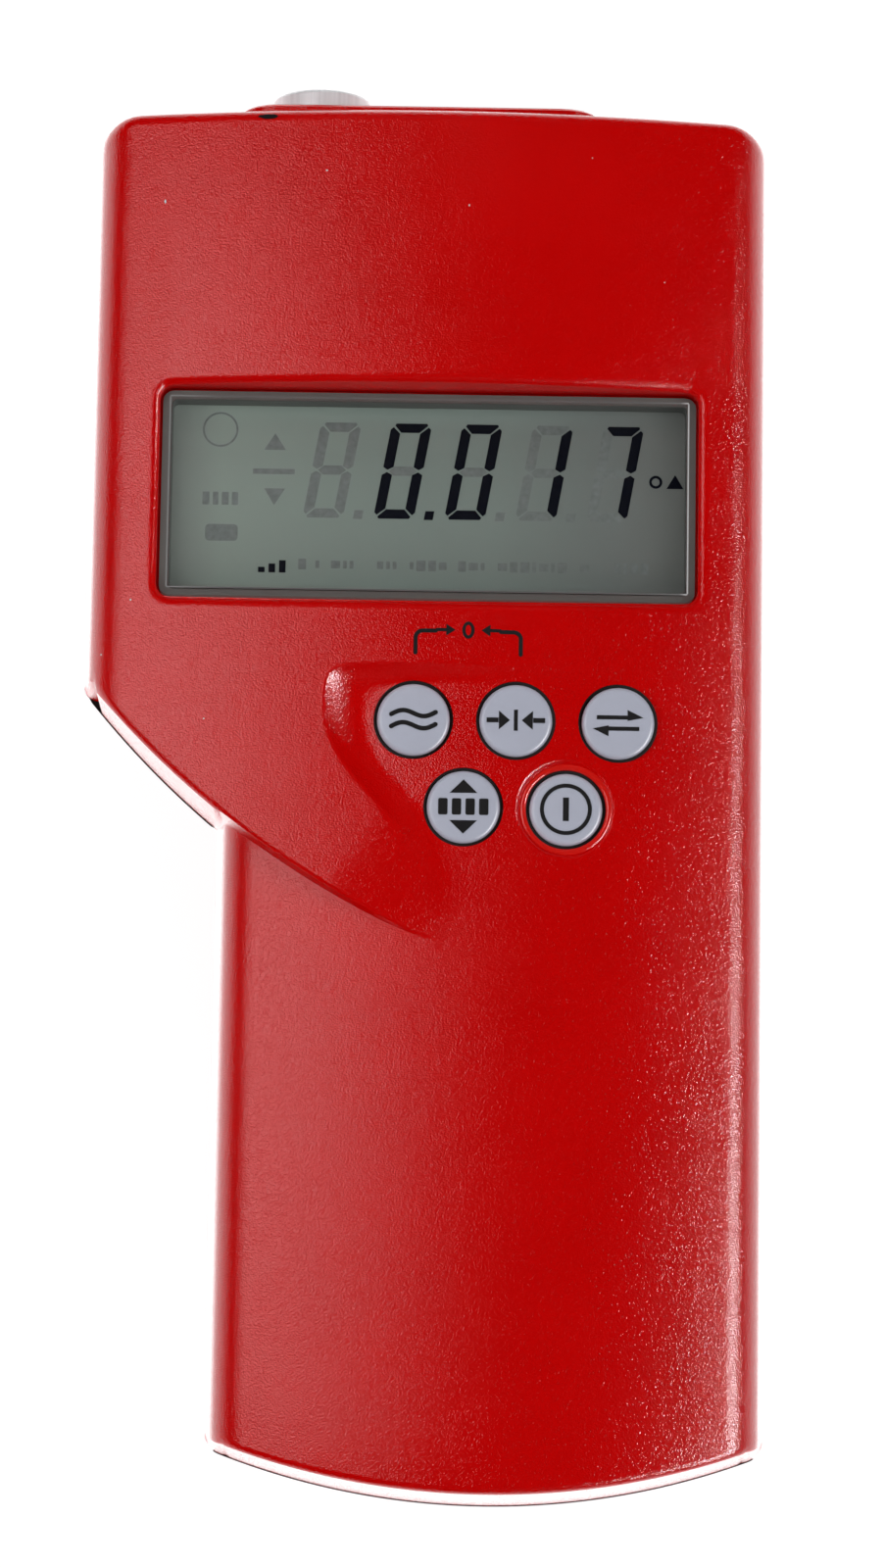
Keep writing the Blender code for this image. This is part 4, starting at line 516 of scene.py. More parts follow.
class FrontFace:
    """The front moulding's outer face, or with an inset the face of its inside."""

    def __init__(self, inset, base):
        self.inset, self.base = inset, base
        self.left, self.right = -HEAD_HALF_WIDTH + inset, HEAD_HALF_WIDTH - inset
        self.handle_left = HANDLE_LEFT_X + inset
        self.top = HEAD_TOP_Y - inset
        fillet = max(SIDE_FILLET - inset, LEAST_FILLET)
        self.end_fillet = max(END_FILLET - inset, LEAST_END_FILLET)
        head_z, handle_z = HEAD_CROWN_Z - inset, HANDLE_CROWN_Z - inset
        self.handle = Section(
            self.handle_left, self.right, HANDLE_MID_X, handle_z,
            HANDLE_CROWN_RADIUS - inset, fillet, base,
        )
        self.head = Section(
            self.left, self.right, 0.0, head_z, HEAD_CROWN_RADIUS - inset, fillet, base
        )
        self.shared_x = SHARED_CROWN_X * (1 - inset / HEAD_CROWN_RADIUS)
        self.head_end = EndProfile(head_z - base, self.end_fillet)
        if inset:
            self.step_end = self.head_end
            self.handle_end = EndProfile(handle_z - base, self.end_fillet)
        else:
            self.step_end = EndProfile(head_z - base, STEP_FILLET, STEP_DRAFT)
            self.handle_end = EndProfile(handle_z - base, STEP_FILLET, LOW_DRAFT)

    def corner(self, radius):
        return max(radius - self.inset, LEAST_CORNER)

    def bottom_y(self, x):
        """The bottom edge's place at x, with its two corners."""
        corner, low = self.corner(BOTTOM_CORNER), BOTTOM_RADIUS - self.inset
        for centre, inward in ((self.handle_left + corner, 1), (self.right - corner, -1)):
            if inward * (x - centre) < 0:
                _, cy = corner_on_arc(centre, corner, HANDLE_MID_X, BOTTOM_CENTRE_Y, low)
                return cy - math.sqrt(max(corner**2 - (x - centre) ** 2, 0))
        return BOTTOM_CENTRE_Y - math.sqrt(low**2 - (x - HANDLE_MID_X) ** 2)

    def top_y(self, x):
        corner = self.corner(TOP_CORNER)
        over = max(self.left + corner - x, x - self.right + corner, 0)
        return self.top - circle_drop(corner, min(over, corner))

    def step_y(self, x, inner):
        """The step's arc at x, moved inwards by inner, with the shoulder's corner."""
        corner, radius = self.corner(SHOULDER_CORNER), STEP_RADIUS - self.inset - inner
        centre = self.left + corner
        if x < centre:
            _, cy = corner_on_arc(centre, corner, STEP_X, STEP_Y, radius)
            return cy - math.sqrt(max(corner**2 - (x - centre) ** 2, 0))
        return STEP_Y - math.sqrt(radius**2 - (x - STEP_X) ** 2)

    def handle_z(self, x):
        return self.handle.height(x)

    def head_z(self, x, y):
        """The face above the step, with the keypad recess in it."""
        if x >= self.shared_x:
            return self.handle.height(x)
        raised = self.head.height(x)
        if x <= self.handle.edges[0][3]:
            return raised
        plain = self.handle.height(x)
        return plain + (raised - plain) * raised_share(x, y)

    def rim_drop(self, x, y):
        """The rounding round the window recess."""
        if self.inset:
            return 0.0
        away = recess_edge_distance(x, y)
        if away >= RIM_ROUND:
            return 0.0
        return circle_drop(RIM_ROUND, RIM_ROUND - max(away, 0)) * RIM_SHARE

    def column(self, x, morph, levels, steps):
        """(handle rows, head rows) of one column, each row a point."""
        above = self.base
        ends = self.step_end
        inner_end = ends.end
        top_of_step = self.head_z(x, self.step_y(x, inner_end))
        low = self.base
        foot = 0.0
        handle_rows = []
        if x >= self.handle_left:
            low = self.handle_z(x)
            if top_of_step > above:
                foot = ends.distance((low - above) / (top_of_step - above))
            bottom = self.bottom_y(x)
            for distance in self.handle_end.rows(steps):
                z = above + (low - above) * self.handle_end.share(distance)
                handle_rows.append((x, bottom + distance, z))
            last = bottom + distance
            step = self.step_y(x, 0.0)
            for share in HANDLE_ROWS:
                handle_rows.append((x, last + (step - last) * share, low))
        foot = min(foot, inner_end - LEAST_END_FILLET)
        head_rows = []
        wall = ends.rows(steps)
        shares = [(d - wall[0]) / (wall[-1] - wall[0]) for d in wall]
        for share in shares:
            inner = foot + (inner_end - foot) * share
            z = above + (top_of_step - above) * ends.share(inner)
            if share == 0.0:
                z = low
            head_rows.append((x, self.step_y(x, inner), max(z, low)))
        start = self.step_y(x, inner_end)
        top = self.top_y(x)
        for i in range(1, morph + 1):
            y = start + (levels[0] - start) * i / morph
            head_rows.append((x, y, self.head_z(x, y) - self.rim_drop(x, y)))
        for y in levels[1:]:
            head_rows.append((x, y, self.head_z(x, y) - self.rim_drop(x, y)))
        for distance in reversed(self.head_end.rows(steps)):
            y = top - distance
            z = above + (self.head_z(x, y) - above) * self.head_end.share(distance)
            head_rows.append((x, y, z))
        if x in (self.left, self.right):
            head_rows = [(px, py, above) for px, py, _ in head_rows]
            handle_rows = [(px, py, above) for px, py, _ in handle_rows]
        return handle_rows, head_rows

    def solid(self, name, inner_columns, morph, levels, steps):
        """The closed solid under the face, down to its flat base."""
        columns = self.head.columns(0, steps) + self.handle.columns(0, steps)
        columns += self.handle.columns(1, steps) + list(inner_columns)
        columns = spread(columns, [self.left, self.handle_left, self.right])
        points, handle_ids, head_ids = [], [], []
        for x in columns:
            for rows, ids in zip(
                self.column(x, morph, levels, steps), (handle_ids, head_ids)
            ):
                ids.append(list(range(len(points), len(points) + len(rows))))
                points += rows
        faces = []
        for a, b in zip(range(len(columns) - 1), range(1, len(columns))):
            one, two = head_ids[a], head_ids[b]
            if handle_ids[a]:
                one, two = handle_ids[a] + one, handle_ids[b] + two
            for i in range(len(one) - 1):
                faces.append([one[i], two[i], two[i + 1], one[i + 1]])
        first = columns.index(self.handle_left)
        rim = [ids[0] for ids in handle_ids[first:]]
        rim += (handle_ids[-1] + head_ids[-1])[1:]
        rim += [ids[-1] for ids in head_ids[:-1]][::-1]
        rim += head_ids[0][:-1][::-1]
        rim += [ids[0] for ids in head_ids[1 : first + 1]]
        rim += handle_ids[first][1:][::-1]
        faces.append(rim[::-1])
        return triangulated(mesh_object(name, points, faces))


def spread(values, kept, least=0.00015):
    """The values in order, without those that nearly repeat another or a kept one."""
    found = []
    for value in sorted(values):
        near_kept = any(0 < abs(value - one) < least for one in kept)
        if near_kept or (found and value - found[-1] < least):
            continue
        found.append(value)
    return found


# Window sizes that several pieces share
RECESS_WIDTH = PANE_WIDTH + 2 * GAP
RECESS_HEIGHT = PANE_HEIGHT + 2 * GAP
PANE_LOW_Z = PANE_TOP_Z - PANE_THICKNESS
LEDGE_Z = PANE_LOW_Z - SEAL_THICKNESS - 2 * SLACK
VIEW_WIDTH = PANE_WIDTH - 2 * PANE_BORDER
VIEW_HEIGHT = PANE_HEIGHT - 2 * PANE_BORDER


def lip_run(x):
    """How far the sloped lower wall of the window recess reaches below it at the face."""
    face = HEAD_CROWN_Z - circle_drop(HEAD_CROWN_RADIUS, min(abs(x), SHARED_CROWN_X))
    return max(face - PANE_TOP_Z, 0) * LIP_SLOPE


def recess_edge_distance(x, y):
    """Distance outside the window recess's outline at the face, 0 inside it."""
    corner = PANE_CORNER + GAP
    dx = abs(x - WINDOW_X) - RECESS_WIDTH / 2 + corner
    dy = max(WINDOW_Y - lip_run(x) - y, y - WINDOW_Y) - RECESS_HEIGHT / 2 + corner
    return math.hypot(max(dx, 0), max(dy, 0)) + min(max(dx, dy), 0) - corner


def front_inside():
    """What is hollow in the front moulding: its inside without the bosses and window well."""
    face = FrontFace(WALL, FRONT_Z - OVERCUT)
    half = RECESS_HEIGHT / 2 + WALL
    levels = [WINDOW_Y - half, WINDOW_Y + half]
    left, right = RECESS_LEFT_X, SHARED_CROWN_X
    columns = [(HANDLE_LEFT_X - HEAD_HALF_WIDTH) / 2]
    columns += [left + (right - left) * i / INSIDE_COLUMNS for i in range(INSIDE_COLUMNS + 1)]
    inside = face.solid("front_inside", columns, INSIDE_ROWS, levels, INSIDE_STEPS)
    for name, places, diameter, low in (
        ("front_case_bosses", CASE_SCREWS, CASE_BOSS_DIAMETER, FRONT_Z + GAP),
        ("front_board_bosses", BOARD_SCREWS, BOARD_BOSS_DIAMETER, BOARD_TOP_Z + GAP),
    ):
        kept = cylinders(name, places, diameter / 2, low, HEAD_CROWN_Z + WALL, 20)
        boolean(inside, kept)
    well = rounded_rectangle(
        WINDOW_X, WINDOW_Y, RECESS_WIDTH + 2 * WALL, RECESS_HEIGHT + 2 * WALL, PANE_CORNER + WALL
    )
    kept = prism("window_well", well, LEDGE_Z - PANE_LEDGE + SLACK, HEAD_CROWN_Z + WALL)
    boolean(inside, kept)
    return inside


def window_cut():
    """The recess for the pane and the opening through its ledge, as one stepped solid."""
    recess = rounded_rectangle(WINDOW_X, WINDOW_Y, RECESS_WIDTH, RECESS_HEIGHT, PANE_CORNER + GAP)
    view = rounded_rectangle(WINDOW_X, WINDOW_Y, VIEW_WIDTH, VIEW_HEIGHT, PANE_CORNER / 2)
    high = HEAD_CROWN_Z + OVERCUT
    run = (high - PANE_TOP_Z) * LIP_SLOPE
    mouth = rounded_rectangle(
        WINDOW_X, WINDOW_Y - run / 2, RECESS_WIDTH, RECESS_HEIGHT + run, PANE_CORNER + GAP
    )
    rings = [
        [(x, y, LEDGE_Z - PANE_LEDGE - OVERCUT) for x, y in view],
        [(x, y, LEDGE_Z) for x, y in view],
        [(x, y, LEDGE_Z) for x, y in recess],
        [(x, y, PANE_TOP_Z) for x, y in recess],
        [(x, y, high) for x, y in mouth],
    ]
    return loft("window_cut", rings)


def floor_z(x):
    """Height of the keypad recess's floor."""
    return HANDLE_CROWN_Z - circle_drop(HANDLE_CROWN_RADIUS, x - HANDLE_MID_X)


def key_floor_z(name):
    x, _ = KEYS[name]
    return floor_z(x) - (DISH_DEPTH if name == "key_power" else 0)


def port_pad():
    """The raised pad on the end wall that carries the port."""
    width, height = PAD_RIGHT_X - PAD_LEFT_X, PAD_HIGH_Z - PAD_LOW_Z
    middle_x, middle_z = (PAD_LEFT_X + PAD_RIGHT_X) / 2, (PAD_LOW_Z + PAD_HIGH_Z) / 2
    outline = rounded_rectangle(middle_x, middle_z, width, height, height / 2 * PAD_ROUNDING, 5)
    shrink_x, shrink_z = 1 - EDGE_BREAK / (width / 2), 1 - EDGE_BREAK / (height / 2)
    outer = HEAD_TOP_Y + PAD_PROUD
    rings = []
    for y, wide, tall in (
        (outer, shrink_x, shrink_z), (outer - EDGE_BREAK, 1, 1), (HEAD_TOP_Y - WALL, 1, 1),
    ):
        rings.append([
            (middle_x + (x - middle_x) * wide, y, middle_z + (z - middle_z) * tall)
            for x, z in outline
        ])
    return loft("port_pad", rings)


def along_y(obj, x, y, z):
    """Turns an upright piece so that its top points to +Y."""
    obj.location = (x, y, z)
    obj.rotation_euler = (-math.pi / 2, 0, 0)
    return obj


def rear_rings(inset, floor, high, fillet):
    """Rings of the rear moulding from its flat back up to a height."""
    draft = math.tan(REAR_DRAFT)
    steps = 4
    start = (REAR_Z - floor - fillet) * draft
    rings = []
    for i in range(steps + 1):
        turn = math.pi / 2 * (1 - i / steps)
        shift = inset + start + fillet * (1 - math.cos(turn))
        z = floor + fillet * (1 - math.sin(turn))
        rings.append([(x, y, z) for x, y in case_outline(shift)])
    top = inset + (REAR_Z - high) * draft
    rings.append([(x, y, high) for x, y in case_outline(top)])
    return rings


def door_places():
    """Middle of the battery door, its length and its two screws."""
    length = BATTERY_LENGTH + 2 * BATTERY_CLEARANCE + 2 * DOOR_END
    middle = (BATTERY_TOP_Y + BATTERY_BOTTOM_Y) / 2
    reach = length / 2 - DOOR_END / 2
    return middle, length, [(BATTERY_MID_X, middle + reach), (BATTERY_MID_X, middle - reach)]


DOOR_Y, DOOR_LENGTH, DOOR_SCREWS = door_places()
DOOR_RECESS_Z = DOOR_THICKNESS + DOOR_SEAL_THICKNESS + 2 * SLACK
DOOR_LEDGE_Z = DOOR_RECESS_Z + DOOR_LEDGE_THICKNESS
DOOR_BOSS_Z = DOOR_LEDGE_Z + DOOR_BOSS_HEIGHT


def rear_inside():
    """What is hollow in the rear moulding: its inside without bosses and battery ledge."""
    rings = rear_rings(WALL, WALL, REAR_Z + OVERCUT, REAR_FILLET - WALL)
    inside = loft("rear_inside", rings)
    kept = cylinders(
        "rear_case_bosses", CASE_SCREWS, CASE_BOSS_DIAMETER / 2, -OVERCUT, REAR_Z - GAP, 20
    )
    boolean(inside, kept)
    ledge = rounded_rectangle(
        BATTERY_MID_X, DOOR_Y, DOOR_WIDTH + 2 * WALL, DOOR_LENGTH + 2 * WALL, DOOR_CORNER + WALL
    )
    boolean(inside, prism("battery_ledge", ledge, -OVERCUT, DOOR_LEDGE_Z))
    kept = cylinders("door_bosses", DOOR_SCREWS, BOARD_BOSS_DIAMETER / 2, 0, DOOR_BOSS_Z, 16)
    boolean(inside, kept)
    return inside


def ring_prism(name, outer, inner, low, high):
    """A flat ring between two outlines of as many points each."""
    count = len(outer)
    points = []
    for outline, z in ((outer, low), (outer, high), (inner, high), (inner, low)):
        points += [(x, y, z) for x, y in outline]
    faces = []
    for side in range(4):
        for i in range(count):
            j = (i + 1) % count
            one, two = side * count, (side + 1) % 4 * count
            faces.append([one + i, one + j, two + j, two + i])
    return mesh_object(name, points, faces)


# Meshes for the looks
def finished(obj, name, sharp=30):
    """Applies what shapes the object, removes its cutters and returns it with a plain mesh."""
    bpy.context.view_layer.update()
    graph = bpy.context.evaluated_depsgraph_get()
    mesh = bpy.data.meshes.new_from_object(obj.evaluated_get(graph))
    mesh.name = name
    mesh.materials.clear()
    mesh.transform(obj.matrix_world)
    used = set()
    pending = [obj]
    while pending:
        one = pending.pop()
        for change in one.modifiers:
            if change.type == "BOOLEAN" and change.object not in used:
                used.add(change.object)
                pending.append(change.object)
        used.add(one)
    for one in used:
        bpy.data.objects.remove(one)
    return smooth(linked(bpy.data.objects.new(name, mesh)), sharp)


def dress(obj, look, body=ROOT, replaced=()):
    obj.data.materials.clear()
    obj.data.materials.append(look)
    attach(obj, body)
    if replaced:
        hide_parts(*replaced)
    return obj


def revolve(name, profile, steps=64):
    """Turns (radius, height) points, from the top down the outer side, about Z."""
    points, faces = [], []
    rows = []
    for radius, height in profile:
        if radius == 0:
            rows.append([len(points)])
            points.append((0, 0, height))
            continue
        rows.append(list(range(len(points), len(points) + steps)))
        for i in range(steps):
            turn = 2 * math.pi * i / steps
            points.append((radius * math.cos(turn), radius * math.sin(turn), height))
    loop = list(zip(rows, rows[1:]))
    if profile[0][0] > 0:
        loop.append((rows[-1], rows[0]))
    for upper, lower in loop:
        for i in range(steps):
            j = (i + 1) % steps
            if len(upper) == 1:
                faces.append([upper[0], lower[i], lower[j]])
            elif len(lower) == 1:
                faces.append([upper[i], lower[0], upper[j]])
            else:
                faces.append([upper[i], lower[i], lower[j], upper[j]])
    return linked(mesh_object(name, points, faces))


def moved(obj, x=0.0, y=0.0, z=0.0, turned_to_y=False):
    matrix = Matrix.Translation((x, y, z))
    if turned_to_y:
        matrix = matrix @ Matrix.Rotation(-math.pi / 2, 4, "X")
    obj.data.transform(matrix)
    return obj


def smooth(obj, sharp=30):
    obj.data.shade_smooth()
    obj.data.set_sharp_from_angle(angle=math.radians(sharp))
    return obj


# Node materials
class Look:
    """A Principled material with short calls for its nodes."""

    def __init__(self, name, colour, roughness, metallic=0.0, specular=0.5, coat=0.0):
        self.made = bpy.data.materials.new(name)
        self.made.use_nodes = True
        self.tree = self.made.node_tree
        self.shader = self.tree.nodes["Principled BSDF"]
        self.set("Base Color", (*colour, 1.0))
        self.set("Roughness", roughness)
        self.set("Metallic", metallic)
        self.set("Specular IOR Level", specular)
        if coat:
            self.set("Coat Weight", coat)
            self.set("Coat Roughness", 0.12)
        self.place = self.node("ShaderNodeTexCoord").outputs["Object"]

    def set(self, socket, value):
        self.shader.inputs[socket].default_value = value

    def node(self, kind, **values):
        made = self.tree.nodes.new(kind)
        for key, value in values.items():
            setattr(made, key, value)
        return made

    def link(self, output, target):
        self.tree.links.new(output, target)

    def noise(self, scale, detail=2.0, rough=0.5, stretch=None):
        made = self.node("ShaderNodeTexNoise")
        made.inputs["Scale"].default_value = scale
        made.inputs["Detail"].default_value = detail
        made.inputs["Roughness"].default_value = rough
        if stretch:
            shape = self.node("ShaderNodeMapping")
            shape.inputs["Scale"].default_value = stretch
            self.link(self.place, shape.inputs["Vector"])
            self.link(shape.outputs["Vector"], made.inputs["Vector"])
        else:
            self.link(self.place, made.inputs["Vector"])
        return made.outputs["Fac"]

    def ramp(self, factor, stops):
        made = self.node("ShaderNodeValToRGB")
        bar = made.color_ramp
        while len(bar.elements) < len(stops):
            bar.elements.new(0.5)
        for element, (position, colour) in zip(bar.elements, stops):
            element.position = position
            value = (colour, colour, colour) if isinstance(colour, (int, float)) else colour
            element.color = (*value, 1.0)
        self.link(factor, made.inputs["Fac"])
        return made.outputs["Color"]

    def math(self, operation, first, second, third=None):
        made = self.node("ShaderNodeMath", operation=operation)
        for socket, value in zip(made.inputs, (first, second, third)):
            if value is None:
                continue
            if isinstance(value, (int, float)):
                socket.default_value = value
            else:
                self.link(value, socket)
        return made.outputs[0]

    def mix(self, factor, one, two, blend="MIX"):
        made = self.node("ShaderNodeMix", data_type="RGBA", blend_type=blend)
        for index, value in ((0, factor), (6, one), (7, two)):
            socket = made.inputs[index]
            if isinstance(value, (int, float)):
                socket.default_value = value
            elif isinstance(value, tuple):
                socket.default_value = (*value, 1.0)
            else:
                self.link(value, socket)
        return made.outputs[2]

    def bump(self, height, distance, strength=1.0, after=None):
        made = self.node("ShaderNodeBump")
        made.inputs["Strength"].default_value = strength
        made.inputs["Distance"].default_value = distance
        self.link(height, made.inputs["Height"])
        if after is not None:
            self.link(after, made.inputs["Normal"])
        self.link(made.outputs["Normal"], self.shader.inputs["Normal"])
        return made.outputs["Normal"]

    def roughness(self, factor, low, high):
        span = self.node("ShaderNodeMapRange")
        span.inputs["To Min"].default_value = low
        span.inputs["To Max"].default_value = high
        self.link(factor, span.inputs["Value"])
        self.link(span.outputs["Result"], self.shader.inputs["Roughness"])

    def colour(self, output):
        self.link(output, self.shader.inputs["Base Color"])

    def mottle(self, colour, factor, dark, start=0.3, end=0.7):
        """The colour, down to a darker share of it where the factor is low."""
        shade = self.ramp(factor, ((start, dark), (end, 1.0)))
        self.colour(self.mix(1.0, colour, shade, "MULTIPLY"))

    def axes(self):
        made = self.node("ShaderNodeSeparateXYZ")
        self.link(self.place, made.inputs["Vector"])
        return made.outputs


def red_case(name, grain=1.0, colour=(0.700, 0.0001, 0.0001), specular=0.31):
    """Spark-textured red moulding: fine grain that breaks up its satin shine."""
    look = Look(name, colour, 0.34, specular=specular)
    fine = look.noise(4800, 1.0, 0.5)
    broad = look.noise(1900, 1.0, 0.5)
    mottle = look.noise(60, 3.0, 0.55)
    look.roughness(mottle, 0.12, 0.15)
    look.mottle(colour, mottle, 0.94)
    look.bump(look.math("MULTIPLY_ADD", broad, 0.35, fine), 0.000062 * grain)
    return look.made


def moulded(name, colour, roughness, grain=1500, depth=0.00002, spread=0.06):
    look = Look(name, colour, roughness)
    look.roughness(look.noise(120), roughness - spread, roughness + spread)
    look.mottle(colour, look.noise(90, 3.0), 0.93)
    look.bump(look.noise(grain, 3.0), depth)
    return look.made


def metal(name, colour, roughness, stretch=(40, 2200, 40), metallic=1.0):
    look = Look(name, colour, roughness, metallic=metallic)
    lines = look.noise(1.0, 3.0, 0.6, stretch=stretch)
    look.roughness(lines, roughness - 0.08, roughness + 0.1)
    look.mottle(colour, lines, 0.86, 0.25, 0.75)
    look.bump(lines, 0.00001)
    return look.made


def key_plastic():
    colour = (0.555, 0.575, 0.685)
    look = Look("key_cap_plastic", colour, 0.34, specular=0.3)
    look.mottle(colour, look.noise(260, 3.0), 0.955)
    look.roughness(look.noise(700), 0.30, 0.40)
    look.bump(look.noise(1800), 0.000012)
    return look.made


def ink(name, colour=(0.004, 0.003, 0.004), roughness=0.5):
    look = Look(name, colour, roughness, specular=0.15)
    look.roughness(look.noise(900), roughness - 0.05, roughness + 0.08)
    look.mottle(colour, look.noise(1400), 0.8)
    return look.made


# From metres across and up the window to a share of its span
ACROSS_SPAN = (15.0, 0.5)
UP_SPAN = (37.0, -0.905)


def lcd_look_painted_shade():
    """Grey-green cell with painted shade: darker at its left edge, towards its right side and along
    its bottom edge, with painted light under its top edge, and faint stains.
    """
    look = Look("lcd_cell", (0.19, 0.216, 0.188), 0.30)
    x, y, _ = look.axes()
    # Painted shade across the cell: dark at its left edge, falling off towards its right side
    across = look.ramp(
        look.math("MULTIPLY_ADD", x, *ACROSS_SPAN),
        ((0.0, (0.405, 0.435, 0.415)), (0.10, (0.470, 0.545, 0.500)),
         (0.45, (0.405, 0.480, 0.450)), (0.62, (0.390, 0.455, 0.430)),
         (0.85, (0.310, 0.335, 0.330)), (1.0, (0.290, 0.295, 0.288))),
    )
    # Painted shade up the cell: darker along its bottom edge, painted light under its top edge
    up = look.ramp(
        look.math("MULTIPLY_ADD", y, *UP_SPAN),
        ((0.0, 0.76), (0.08, 0.86), (0.72, 0.86), (0.93, 1.0), (1.0, 1.0)),
    )
    stain = look.ramp(look.noise(140, 4.0, 0.6), ((0.3, 0.965), (0.7, 1.0)))
    look.colour(look.mix(1.0, look.mix(1.0, across, up, "MULTIPLY"), stain, "MULTIPLY"))
    look.bump(look.noise(2500, 2.0), 0.000002)
    return look.made


def wire(owner, kinds, values, links):
    """Gives a material or world nodes by kind, their input values and their links."""
    owner.use_nodes = True
    tree = owner.node_tree
    tree.nodes.clear()
    made = {}
    for name, kind in kinds.items():
        kind, _, operation = kind.partition(" ")
        made[name] = tree.nodes.new(f"ShaderNode{kind}")
        if operation:
            made[name].operation = operation
    for name, socket, value in values:
        made[name].inputs[socket].default_value = value
    for source, output, target, socket in links:
        tree.links.new(made[source].outputs[output], made[target].inputs[socket])
    return owner


def clear_pane():
    """Clear acrylic: what lies behind shows through, with a reflection on its outer side."""
    return wire(
        bpy.data.materials.new("clear_acrylic"),
        {"out": "OutputMaterial", "mixer": "MixShader", "through": "BsdfTransparent",
         "shine": "BsdfGlossy", "fresnel": "Fresnel", "side": "NewGeometry",
         "outer": "Math SUBTRACT", "share": "Math MULTIPLY"},
        (("through", "Color", (0.93, 0.94, 0.93, 1.0)), ("shine", "Roughness", 0.06),
         ("fresnel", "IOR", 1.45), ("outer", 0, 1.0)),
        (("side", "Backfacing", "outer", 1), ("fresnel", 0, "share", 0), ("outer", 0, "share", 1),
         ("share", 0, "mixer", 0), ("through", 0, "mixer", 1), ("shine", 0, "mixer", 2),
         ("mixer", 0, "out", "Surface")),
    )


RED = red_case("red_case_plastic")
# A smoother copy of the case red for the power key's lip; its lighter orange-red is painted sheen
RED_SMOOTH_PAINTED_SHEEN = red_case("red_smooth_painted_sheen", 0.25, (0.80, 0.012, 0.008), 0.3)
KEY_GREY = key_plastic()
BLACK_INK = ink("black_print")
BLACK_RUBBER = moulded("black_rubber", (0.010, 0.010, 0.011), 0.62)
# Black of the real seam gasket, and painted shade in the gaps round the key caps
BLACK_SEAL_AND_GAP_SHADE = ink("black_seal_and_gap_shade", (0.004, 0.001, 0.001), 0.7)


# Case
OUTER_FACE = FrontFace(0.0, FRONT_Z)
FACE_ROWS = 120
FACE_STEPS = 11
DENSE_COLUMNS = ((-0.0148, 0.00025, 34), (-0.0063, 0.0005, 40), (-0.0435, 0.0011, 80))
LIP_ROW_PITCH = 0.00011
LIP_ROWS = 22
DISH_RIM = (
    (5.50, 1.0), (5.62, 0.93), (5.76, 0.78), (5.90, 0.56), (6.02, 0.34),
    (6.14, 0.17), (6.28, 0.06), (6.45, 0.0), (6.50, -0.3), (6.50, -2.5),
)


def rim_steps():
    """Offsets across the rounding of the window's rim."""
    return [RIM_ROUND * (1 - math.cos(math.pi / 2 * i / 8)) for i in range(9)]


def fine_columns():
    """Columns across the front, dense where the face turns."""
    side = RECESS_WIDTH / 2
    found = [WINDOW_X + sign * (side + step) for sign in (-1, 1) for step in rim_steps()]
    for i in range(5):
        inner = PANE_CORNER * (1 - math.cos(math.pi / 2 * i / 4))
        found += [WINDOW_X + sign * (side - inner) for sign in (-1, 1)]
    for start, pitch, count in DENSE_COLUMNS:
        found += [start + pitch * i for i in range(count)]
    return found


def fine_levels():
    """Straight rows over the head, from just below the window to above it."""
    low, high = WINDOW_Y - RECESS_HEIGHT / 2, WINDOW_Y + RECESS_HEIGHT / 2
    found = [low - LIP_ROW_PITCH * i for i in range(LIP_ROWS, -1, -1)]
    found += [low + PANE_CORNER * share for share in (0.15, 0.5, 1.0)]
    found += [high - PANE_CORNER * share for share in (1.0, 0.5, 0.15)]
    return found + [high + step for step in rim_steps()]


def soft_dish():
    """The dish round the power key with a rounded rim that follows the face."""
    x, y = KEYS["key_power"]
    base = key_floor_z("key_power")
    rings = []
    for radius, share in DISH_RIM:
        ring = []
        for px, py in arc(x, y, radius * MM, 0, 360, 72)[:-1]:
            edge = floor_z(px)
            z = edge + (base - edge) * share if share >= 0 else edge - MM * share
            ring.append((px, py, z))
        rings.append(ring)
    return loft("soft_dish", rings)


def dress_front():
    case = linked(OUTER_FACE.solid(
        "front_case_look", fine_columns(), FACE_ROWS, fine_levels(), FACE_STEPS
    ))
    boolean(case, port_pad(), "UNION")
    boolean(case, front_inside())
    boolean(case, window_cut())
    boolean(case, soft_dish())
    boolean(case, cylinders(
        "key_holes", list(KEYS.values()), KEY_DIAMETER / 2 + KEY_HOLE_CLEARANCE,
        PARTING_Z, HEAD_CROWN_Z + WALL, 72,
    ))
    hole = cylinders(
        "port_hole", [(0, 0)], PORT_STEM_DIAMETER / 2 + GAP, -OVERCUT * 8, OVERCUT * 3, 48
    )
    boolean(case, along_y(hole, PORT_X, HEAD_TOP_Y, PORT_Z))
    dress(finished(case, "front_case_look"), RED, replaced=("front_case",))


def dress_rear():
    case = linked(loft("rear_case_look", rear_rings(0.0, 0.0, REAR_Z, REAR_FILLET)))
    boolean(case, rear_inside())
    recess = rounded_rectangle(
        BATTERY_MID_X, DOOR_Y, DOOR_WIDTH + 2 * GAP, DOOR_LENGTH + 2 * GAP, DOOR_CORNER + GAP, 10
    )
    boolean(case, prism("door_recess", recess, -OVERCUT, DOOR_RECESS_Z))
    opening = rounded_rectangle(
        BATTERY_MID_X, DOOR_Y, BATTERY_WIDTH + 2 * BATTERY_CLEARANCE,
        BATTERY_LENGTH + 2 * BATTERY_CLEARANCE, BATTERY_OPENING_CORNER,
    )
    boolean(case, prism("battery_opening", opening, 0.0, DOOR_LEDGE_Z + OVERCUT))
    for name, places, diameter, low, high, steps in (
        ("case_screw_bores", CASE_SCREWS, CASE_SCREW_HEAD, -OVERCUT, CASE_SCREW_SEAT_Z, 40),
        ("case_screw_holes", CASE_SCREWS, CASE_SCREW_SHANK, 0.0, REAR_Z + OVERCUT, 24),
        ("door_pilots", DOOR_SCREWS, BOARD_SCREW_SHANK, 0.0, DOOR_BOSS_Z + OVERCUT, 24),
    ):
        boolean(case, cylinders(name, places, diameter / 2 + SCREW_CLEARANCE, low, high, steps))
    dress(finished(case, "rear_case_look"), RED, replaced=("rear_case",))


